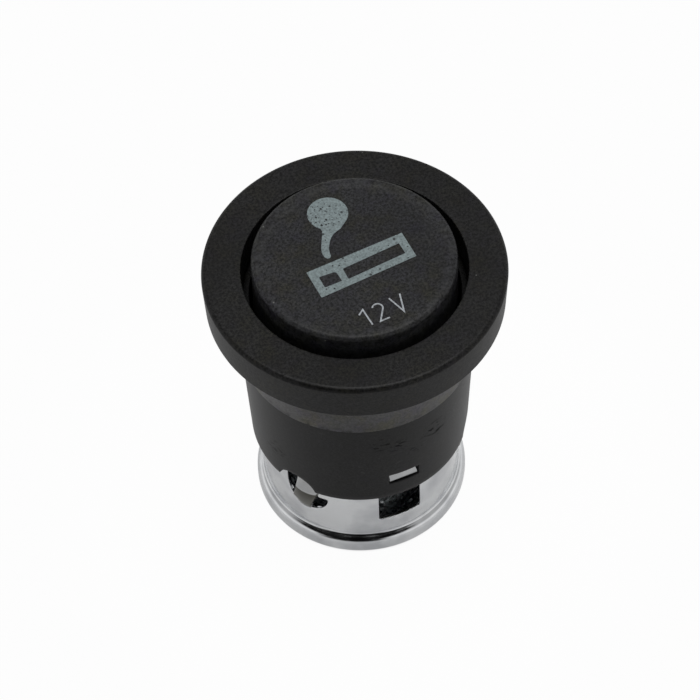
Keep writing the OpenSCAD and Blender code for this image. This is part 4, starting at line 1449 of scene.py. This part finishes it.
def stroke_outline(points, width):
    """The outline of a pen stroke along a line of points."""
    left, right = [], []
    for i, here in enumerate(points):
        ahead = Vector(points[min(i + 1, len(points) - 1)]) - Vector(here)
        back = Vector(here) - Vector(points[max(i - 1, 0)])
        a = ahead.normalized() if ahead.length > 0 else back.normalized()
        b = back.normalized() if back.length > 0 else a
        miter = (Vector((-a.y, a.x)) + Vector((-b.y, b.x))) / (1 + a.dot(b))
        left.append(tuple(Vector(here) + miter * width / 2))
        right.append(tuple(Vector(here) - miter * width / 2))
    return right + left[::-1]


def smoke_loop():
    """The balloon of smoke with its curved tail, counter-clockwise."""
    head = arc(SMOKE_CENTRE, SMOKE_RADIUS, -54, 222, 48)
    return head + smooth_line(SMOKE_LEFT + SMOKE_TIP + SMOKE_RIGHT)


class LIGHTER_OT_print(LighterPiece, bpy.types.Operator):
    """Print the sign and the voltage on the button's face"""

    bl_idname = "lighter.print"
    bl_label = "Print"

    def execute(self, context):
        size = context.scene.lighter_button
        face = top_of("button_cap") - size.face_depth
        low, high = face - size.print_film, face + size.print_film
        turn = Matrix.Rotation(size.print_turn, 2)

        def laid(loop):
            """An outline in metres, turned as the print is."""
            return [tuple(turn @ Vector(p) * MM) for p in loop]

        def missed(spots):
            """Small ragged holes, whose rim depends on their place."""
            holes = []
            for x, y, r in spots:
                rim = []
                for k in range(9):
                    a = 2 * pi * k / 9
                    wide = r * (1 + 0.3 * sin(9 * x + 4 * a))
                    tall = r * (1 + 0.3 * cos(7 * y + 3 * a))
                    rim.append((x + wide * cos(a), y + tall * sin(a)))
                holes.append(laid(rim))
            return holes

        bm = bmesh.new()
        cigarette = [laid(fillet(corners)) for corners in (CIGARETTE, PAPER_WINDOW, TIP_WINDOW)]
        plate(bm, cigarette + missed(CIGARETTE_MISSES), low, high)
        plate(bm, [laid(smoke_loop())] + missed(SMOKE_MISSES), low, high)
        sign = whole(bm, "print_sign")
        plastic = self.colours.button
        ink = ink_finish("Sign ink", self.colours.ink, plastic, 0.22)
        dress(sign, ink, "plunger")

        top, foot = LETTER_TOP, LETTER_FOOT
        bowl = arc((-0.93, top - 0.5), 0.5, 150, -28, 12)
        strokes = [
            [(-2.85, top - 0.42), (-2.25, top), (-2.25, foot)],
            bowl + [(-1.41, foot), (-0.44, foot)],
            [(0.53, top), (1.07, foot), (1.68, top)],
        ]
        bm = bmesh.new()
        for line in strokes:
            plate(bm, [laid(stroke_outline(line, STROKE_WIDTH))], low, high)
        voltage = whole(bm, "print_voltage")
        ink = ink_finish("Voltage ink", self.colours.fine_ink, plastic, 0.04)
        dress(voltage, ink, "plunger")
        return {"FINISHED"}


# Geometry Nodes


def new_geometry_tree(name, inputs):
    """A geometry tree with named inputs and one mesh as its output."""
    tree = bpy.data.node_groups.new(name, "GeometryNodeTree")
    tree.is_modifier = True
    tree.interface.new_socket("Geometry", in_out="OUTPUT", socket_type="NodeSocketGeometry")
    for label, kind in inputs:
        tree.interface.new_socket(label, in_out="INPUT", socket_type=kind)
    return tree, tree.nodes.new("NodeGroupInput").outputs, tree.nodes.new("NodeGroupOutput").inputs[0]


def finish_tree(tree, shape, material, out):
    """Ends a tree in realised instances with a material."""
    real = add_node(tree, "GeometryNodeRealizeInstances", {"Geometry": shape}).outputs[0]
    painted = add_node(tree, "GeometryNodeSetMaterial", {"Geometry": real, "Material": material}).outputs[0]
    tree.links.new(painted, out)


def grow(name, tree, values):
    """Runs a geometry tree on a new object and returns it as a plain mesh."""
    thing = put_object(name, bpy.data.meshes.new(name))
    modifier = thing.modifiers.new("Build", "NODES")
    modifier.node_group = tree
    for item in tree.interface.items_tree:
        if item.in_out == "INPUT" and item.name in values:
            modifier[item.identifier] = values[item.name]
    make_plain(thing)
    bm = bmesh.new()
    bm.from_mesh(thing.data)
    bpy.data.objects.remove(thing)
    return whole(bm, name)


def guide_ribs(size, foot, top):
    """The ribs in the barrel's bore that keep the button from turning."""
    tree, given, out = new_geometry_tree("Guide ribs", [
        ("Count", "NodeSocketInt"), ("Radius", "NodeSocketFloat"), ("Depth", "NodeSocketFloat"),
        ("Width", "NodeSocketFloat"), ("Height", "NodeSocketFloat"), ("Middle", "NodeSocketFloat"),
        ("Material", "NodeSocketMaterial"),
    ])
    spots = add_node(tree, "GeometryNodeMeshCircle", {"Vertices": given["Count"], "Radius": given["Radius"]})
    extent = add_node(tree, "ShaderNodeCombineXYZ", {
        0: given["Depth"], 1: given["Width"], 2: given["Height"],
    }).outputs[0]
    rib = add_node(tree, "GeometryNodeMeshCube", {
        "Size": extent, "Vertices X": 2, "Vertices Y": 5, "Vertices Z": 9,
    })
    place = add_node(tree, "GeometryNodeInputPosition").outputs[0]
    parts = add_node(tree, "ShaderNodeSeparateXYZ", {0: place}).outputs
    turn = add_node(tree, "ShaderNodeCombineXYZ", {2: calc(tree, "ARCTAN2", parts[1], parts[0])}).outputs[0]
    copies = add_node(tree, "GeometryNodeInstanceOnPoints", {
        "Points": spots.outputs[0], "Instance": rib.outputs["Mesh"], "Rotation": turn,
    }).outputs[0]
    lift = add_node(tree, "ShaderNodeCombineXYZ", {2: given["Middle"]}).outputs[0]
    raised = add_node(tree, "GeometryNodeTransform", {
        "Geometry": copies, "Translation": lift, "Rotation": (0, 0, pi / 2),
    }).outputs[0]
    finish_tree(tree, raised, given["Material"], out)
    depth = size.rib_depth + 0.2 * MM
    return grow("guide_ribs", tree, {
        "Count": STATIONS, "Radius": size.bore - size.rib_depth + depth / 2, "Depth": depth,
        "Width": size.rib_width, "Height": top - foot + 0.1 * MM, "Middle": (top + foot - 0.1 * MM) / 2,
    })


class LIGHTER_OT_spring(LighterPiece, bpy.types.Operator):
    """Wind the return spring, with closed turns at both ends"""

    bl_idname = "lighter.spring"
    bl_label = "Return spring"

    def execute(self, context):
        size = context.scene.lighter_spring
        low, high = foot_of("return_spring"), top_of("return_spring")
        tree, given, out = new_geometry_tree("Coil spring", [
            ("Radius", "NodeSocketFloat"), ("Wire", "NodeSocketFloat"), ("Foot", "NodeSocketFloat"),
            ("End pitch", "NodeSocketFloat"), ("Open pitch", "NodeSocketFloat"), ("Turns", "NodeSocketFloat"),
            ("Material", "NodeSocketMaterial"),
        ])
        total = plus(tree, given["Turns"], 2.0)
        coil = add_node(tree, "GeometryNodeCurveSpiral", {
            "Resolution": 72, "Rotations": total, "Start Radius": given["Radius"],
            "End Radius": given["Radius"], "Height": 0.0,
        }).outputs[0]
        along = add_node(tree, "GeometryNodeSplineParameter").outputs["Factor"]
        turn = times(tree, along, total)
        past_first = minus(tree, turn, 1.0)
        first = calc(tree, "MINIMUM", turn, 1.0)
        last = calc(tree, "MAXIMUM", 0.0, minus(tree, past_first, given["Turns"]))
        opened = calc(tree, "MAXIMUM", 0.0, calc(tree, "MINIMUM", past_first, given["Turns"]))
        ends = times(tree, plus(tree, first, last), given["End pitch"])
        rise = plus(tree, plus(tree, ends, times(tree, opened, given["Open pitch"])), given["Foot"])
        lift = add_node(tree, "ShaderNodeCombineXYZ", {2: rise}).outputs[0]
        path = add_node(tree, "GeometryNodeSetPosition", {"Geometry": coil, "Offset": lift}).outputs[0]
        round_wire = add_node(tree, "GeometryNodeCurvePrimitiveCircle", {
            "Resolution": 18, "Radius": times(tree, given["Wire"], 0.5),
        }).outputs[0]
        wound = add_node(tree, "GeometryNodeCurveToMesh", {
            "Curve": path, "Profile Curve": round_wire, "Fill Caps": True,
        }).outputs[0]
        finish_tree(tree, wound, given["Material"], out)
        end_pitch = size.wire + size.end_gap
        spring = grow("coil_spring", tree, {
            "Radius": size.radius, "Wire": size.wire, "Foot": low + size.wire / 2, "End pitch": end_pitch,
            "Open pitch": (high - low - size.wire - 2 * end_pitch) / size.turns, "Turns": float(size.turns),
        })
        finish = turned_finish("Drawn spring wire", self.colours.spring, (0.2, 0.19, 0.18, 1), 0.28, 1e-6)
        dress(spring, finish, "sleeve", ["return_spring"])
        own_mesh(spring)
        return {"FINISHED"}


class LIGHTER_OT_heater(LighterPiece, bpy.types.Operator):
    """Build the heating cup, its ribbon, insulator, washer and rivet"""

    bl_idname = "lighter.heater"
    bl_label = "Heating element"

    def execute(self, context):
        size = context.scene.lighter_heater
        foot, top = foot_of("heating_cup"), top_of("heating_cup")
        inside = size.cup - size.cup_wall
        lip = (size.cup - size.cup_wall / 2, foot + size.cup_lip)
        side = degrees(asin((lip[0] - inside) / size.cup_lip))
        bm = bmesh.new()
        lathe(bm, fillet([
            (size.cup_hole, top - size.cup_wall, 0.05 * MM),
            (size.cup_hole, top, 0.05 * MM),
            (size.cup, top, size.cup_edge),
            (size.cup, lip[1] + size.cup_lip, 0),
        ], closed=False)[1:] + arc(lip, size.cup_lip, 90 - side, -270 + side, 24) + fillet([
            (inside, lip[1] + size.cup_lip, 0),
            (inside, top - size.cup_wall, size.cup_edge - size.cup_wall),
            (size.cup_hole, top - size.cup_wall, 0),
        ], closed=False))
        cup = whole(bm, "heating_bowl")
        dress(cup, cup_finish(self.colours, foot), "plunger", ["heating_cup"])

        low = foot_of("lower_insulator")
        neck_top = top_of("lower_insulator")
        bm = bmesh.new()
        lathe(bm, fillet([
            (size.insulator_bore, low, 0.15 * MM),
            (size.insulator, low, 0.3 * MM),
            (size.insulator, low + size.insulator_height, 0.15 * MM),
            (size.insulator_neck, low + size.insulator_height, 0.1 * MM),
            (size.insulator_neck, neck_top, 0.1 * MM),
            (size.insulator_bore, neck_top, 0.1 * MM),
        ]), steps=144)
        disc = whole(bm, "insulator_disc")
        dress(disc, ceramic_finish(self.colours), "plunger", ["lower_insulator"])

        low, high = foot_of("contact_washer"), top_of("contact_washer")
        bm = bmesh.new()
        bore = size.shank + size.gap
        lathe(bm, fillet([
            (bore, low, 0.05 * MM), (size.washer, low, 0.12 * MM),
            (size.washer, high, 0.08 * MM), (bore, high, 0.05 * MM),
        ]), steps=96)
        brass = bpy.data.materials["Turned brass"]
        dress(whole(bm, "contact_ring"), brass, "plunger", ["contact_washer"])

        low, high = foot_of("coil_rivet"), top_of("coil_rivet")
        shoulder = foot_of("contact_washer")
        bm = bmesh.new()
        lathe(bm, fillet([
            (0, low, 0), (size.post, low, 0.4 * MM), (size.post, shoulder, 0.05 * MM),
            (size.shank, shoulder, 0.05 * MM), (size.shank, high, 0.1 * MM), (0, high, 0),
        ], closed=False), closed=False, steps=96)
        zinc = bpy.data.materials["Zinc-plated steel"]
        dress(whole(bm, "centre_rivet"), zinc, "plunger", ["coil_rivet"])
        self.ribbon(size, inside)
        return {"FINISHED"}

    def ribbon(self, size, inside):
        """The heating ribbon, wound from the rivet's post to the cup's wall."""
        low, high = foot_of("heating_coil"), top_of("heating_coil")
        tree, given, out = new_geometry_tree("Heating ribbon", [
            ("Turns", "NodeSocketFloat"), ("Inner radius", "NodeSocketFloat"),
            ("Outer radius", "NodeSocketFloat"), ("Thickness", "NodeSocketFloat"),
            ("Height", "NodeSocketFloat"), ("Middle", "NodeSocketFloat"), ("Material", "NodeSocketMaterial"),
        ])
        coil = add_node(tree, "GeometryNodeCurveSpiral", {
            "Resolution": 64, "Rotations": given["Turns"], "Start Radius": given["Inner radius"],
            "End Radius": given["Outer radius"], "Height": 0.0,
        }).outputs[0]
        upright = add_node(tree, "GeometryNodeSetCurveNormal", {"Curve": coil}, mode="Z_UP")
        section = add_node(tree, "GeometryNodeCurvePrimitiveQuadrilateral", {
            "Width": given["Thickness"], "Height": given["Height"],
        }).outputs[0]
        rounded = add_node(tree, "GeometryNodeFilletCurve", {
            "Curve": section, "Radius": 0.05 * MM, "Count": 3,
        }, mode="POLY")
        wound = add_node(tree, "GeometryNodeCurveToMesh", {
            "Curve": upright.outputs[0], "Profile Curve": rounded.outputs[0], "Fill Caps": True,
        }).outputs[0]
        lift = add_node(tree, "ShaderNodeCombineXYZ", {2: given["Middle"]}).outputs[0]
        raised = add_node(tree, "GeometryNodeTransform", {"Geometry": wound, "Translation": lift}).outputs[0]
        finish_tree(tree, raised, given["Material"], out)
        ribbon = grow("heating_ribbon", tree, {
            "Turns": float(size.turns), "Inner radius": size.post + size.ribbon / 2 + size.gap,
            "Outer radius": inside - size.ribbon / 2 - size.gap, "Thickness": size.ribbon,
            "Height": size.ribbon_height, "Middle": (low + high) / 2,
        })
        dress(ribbon, ribbon_finish(self.colours), "plunger", ["heating_coil"])


class LIGHTER_OT_inner(LighterPiece, bpy.types.Operator):
    """Give the pieces inside the lighter their finishes"""

    bl_idname = "lighter.inner"
    bl_label = "Inner pieces"

    def execute(self, context):
        colours = self.colours
        brass = turned_finish("Turned brass", colours.brass, (0.30, 0.19, 0.08, 1), 0.24, 2e-6)
        zinc = turned_finish("Zinc-plated steel", colours.zinc, (0.38, 0.37, 0.33, 1), 0.3, 2e-6)
        core = dull_finish("Heat-proof core plastic", colours.core, (0.02, 0.014, 0.011, 1), 0.5, 4200.0)
        rubber = dull_finish("Silicone buffer", colours.silicone, (0.09, 0.02, 0.015, 1), 0.65, 3000.0)
        ceramic = ceramic_finish(colours)
        mica = mica_finish(colours)
        finishes = {
            "guide_bush": brass, "core_insert": brass, "contact_washer": brass,
            "lock_washer": zinc, "stem": zinc, "spring_seat": zinc, "stop_washer": zinc, "coil_rivet": zinc,
            "button_core": core, "stop_buffer": rubber,
            "upper_insulator": ceramic, "lower_insulator": ceramic, "upper_mica": mica, "lower_mica": mica,
        }
        for node, finish in finishes.items():
            mesh = frame["nodes"][node].data
            mesh.materials.clear()
            mesh.materials.append(finish)
        return {"FINISHED"}


# Tones of the room, its horizon and its dark screen, and of the floor near the lighter and far off, where a
# pool of light is painted round the lighter
ROOM_TONE, HORIZON_TONE, SCREEN_TONE = 0.46, 0.9, 0.004
FLOOR_POOL, FLOOR_BEYOND_POOL = 0.86, 0.54
# The share of plain white in the floor that the camera sees, and in the floor that metal mirrors
WHITE_SEEN, WHITE_MIRRORED = 0.965, 0.25


class LIGHTER_OT_stage(LighterPiece, bpy.types.Operator):
    """Set up the camera, the soft lamp, the pale floor and the room"""

    bl_idname = "lighter.stage"
    bl_label = "Stage"

    def execute(self, context):
        stage = context.scene.lighter_stage
        context.scene.view_settings.view_transform = "Standard"
        self.camera(context, stage)
        self.floor(stage)
        self.lamp(stage)
        self.world(context, stage)
        return {"FINISHED"}

    def camera(self, context, stage):
        """The camera, which sees the mouth's centre where the photograph has it."""
        tilt, roll = stage.elevation, stage.roll
        forward = Vector((0, cos(tilt), -sin(tilt)))
        level = Vector((1, 0, 0))
        upright = level.cross(forward)
        right = level * cos(roll) - upright * sin(roll)
        up = level * sin(roll) + upright * cos(roll)
        eye = -(right * stage.right - up * stage.below + forward * stage.distance)
        pose = Matrix((right, up, -forward)).transposed().to_4x4()
        pose.translation = eye
        lens = bpy.data.cameras.new("camera")
        lens.lens, lens.sensor_width = stage.lens, 36.0
        lens.clip_start, lens.clip_end = 0.05, 10.0
        camera = put_object("camera", lens)
        camera.matrix_world = Matrix.Rotation(stage.azimuth, 4, "Z") @ pose
        context.scene.camera = camera

    def floor(self, stage):
        """A pale floor, which the camera sees as nearly white but for the soft shadow."""
        bm = bmesh.new()
        bmesh.ops.create_grid(bm, x_segments=8, y_segments=8, size=stage.floor)
        mesh = bpy.data.meshes.new("floor")
        bm.to_mesh(mesh)
        bm.free()
        floor = put_object("floor", mesh)
        material = bpy.data.materials.new("Pale floor")
        material.use_nodes = True
        tree = material.node_tree
        tree.nodes.clear()
        radius = from_axis(tree, place_in(tree))
        # A painted pool of light: the floor is paler near the lighter and darker far off, and the plating
        # mirrors it.
        tone = mixed(tree, spread(tree, radius, 15 * MM, 34 * MM), grey(FLOOR_POOL), grey(FLOOR_BEYOND_POOL))
        paper = add_node(tree, "ShaderNodeBsdfDiffuse", {"Color": tone}).outputs[0]
        white = add_node(tree, "ShaderNodeEmission", {"Color": grey(1.0), "Strength": 1.0}).outputs[0]
        ray = add_node(tree, "ShaderNodeLightPath").outputs
        open_floor = spread(tree, radius, stage.shade, stage.shade + 0.4 * MM)
        seen = times(tree, ray["Is Camera Ray"], WHITE_SEEN)
        mirrored = times(tree, ray["Is Glossy Ray"], WHITE_MIRRORED)
        share = times(tree, plus(tree, seen, mirrored), open_floor)
        both = add_node(tree, "ShaderNodeMixShader", {0: share, 1: paper, 2: white}).outputs[0]
        add_node(tree, "ShaderNodeOutputMaterial", {"Surface": both})
        mesh.materials.append(material)

    def lamp(self, stage):
        """A soft lamp overhead."""
        lamp = bpy.data.lights.new("soft_overhead", "AREA")
        lamp.shape, lamp.size, lamp.energy = "DISK", stage.lamp_width, stage.lamp_power
        overhead = put_object("soft_overhead", lamp)
        overhead.location = (0.03, 0.0, 0.55)
        overhead.rotation_euler = (0, 0.055, 0)

    def world(self, context, stage):
        """A pale room, bright round the horizon, with a dark screen. The camera sees plain white."""
        world = bpy.data.worlds.new("room")
        context.scene.world = world
        world.use_nodes = True
        tree = world.node_tree
        tree.nodes.clear()
        way = add_node(tree, "ShaderNodeTexCoord").outputs["Generated"]
        height = height_in(tree, way)
        level = calc(tree, "SQRT", minus(tree, 1.0, times(tree, height, height)))
        middle = stage.azimuth + stage.screen_turn
        to_camera = (sin(middle), -cos(middle), 0)
        along = add_node(tree, "ShaderNodeVectorMath", {0: way, 1: to_camera}, operation="DOT_PRODUCT")
        side = calc(tree, "DIVIDE", along.outputs["Value"], calc(tree, "MAXIMUM", level, 0.01))
        soft = radians(7)
        rising = spread(tree, height, sin(-soft), sin(soft))
        falling = spread(tree, height, sin(stage.screen_high + soft), sin(stage.screen_high))
        foot, head = sin(radians(22)), sin(radians(42))
        edge = spread(tree, height, foot, head, cos(stage.screen_foot), cos(stage.screen_head))
        across = spread(tree, minus(tree, side, edge), -0.09, 0.03)
        screen = times(tree, times(tree, rising, falling), across)
        horizon = spread(tree, height, sin(radians(30)), sin(radians(20)))
        room = mixed(tree, horizon, grey(ROOM_TONE), grey(HORIZON_TONE))
        room = mixed(tree, screen, room, grey(SCREEN_TONE))
        ray = add_node(tree, "ShaderNodeLightPath").outputs
        seen = mixed(tree, ray["Is Camera Ray"], room, grey(1.0))
        light = add_node(tree, "ShaderNodeBackground", {"Color": seen, "Strength": 1.0}).outputs[0]
        add_node(tree, "ShaderNodeOutputWorld", {"Surface": light})


class LIGHTER_PT_panel(bpy.types.Panel):
    """Lists the pieces of the lighter"""

    bl_label = "Cigarette lighter"
    bl_idname = "LIGHTER_PT_panel"
    bl_space_type = "VIEW_3D"
    bl_region_type = "UI"
    bl_category = "Lighter"

    def draw(self, context):
        for operator in OPERATORS:
            self.layout.operator(operator.bl_idname)
        for name in SETTINGS:
            group_of = getattr(context.scene, name)
            box = self.layout.box()
            for field in group_of.__annotations__:
                box.prop(group_of, field)


SETTINGS = {
    "lighter_ring": LighterRingSizes,
    "lighter_barrel": LighterBarrelSizes,
    "lighter_shell": LighterShellSizes,
    "lighter_button": LighterButtonSizes,
    "lighter_spring": LighterSpringSizes,
    "lighter_heater": LighterHeaterSizes,
    "lighter_colours": LighterColours,
    "lighter_stage": LighterStage,
}
OPERATORS = (
    LIGHTER_OT_stage, LIGHTER_OT_inner, LIGHTER_OT_ring, LIGHTER_OT_barrel, LIGHTER_OT_shell,
    LIGHTER_OT_button, LIGHTER_OT_print, LIGHTER_OT_spring, LIGHTER_OT_heater,
)


def register():
    """Registers the settings, the operators and the panel."""
    for kind in (*SETTINGS.values(), *OPERATORS, LIGHTER_PT_panel):
        bpy.utils.register_class(kind)
    for name, kind in SETTINGS.items():
        setattr(bpy.types.Scene, name, PointerProperty(type=kind))


def unregister():
    """Takes away what register added."""
    for name in SETTINGS:
        delattr(bpy.types.Scene, name)
    for kind in reversed((*SETTINGS.values(), *OPERATORS, LIGHTER_PT_panel)):
        bpy.utils.unregister_class(kind)


def main():
    """Builds every piece."""
    register()
    for operator in OPERATORS:
        getattr(bpy.ops.lighter, operator.bl_idname.split(".")[1])()


if __name__ == "__main__":
    main()
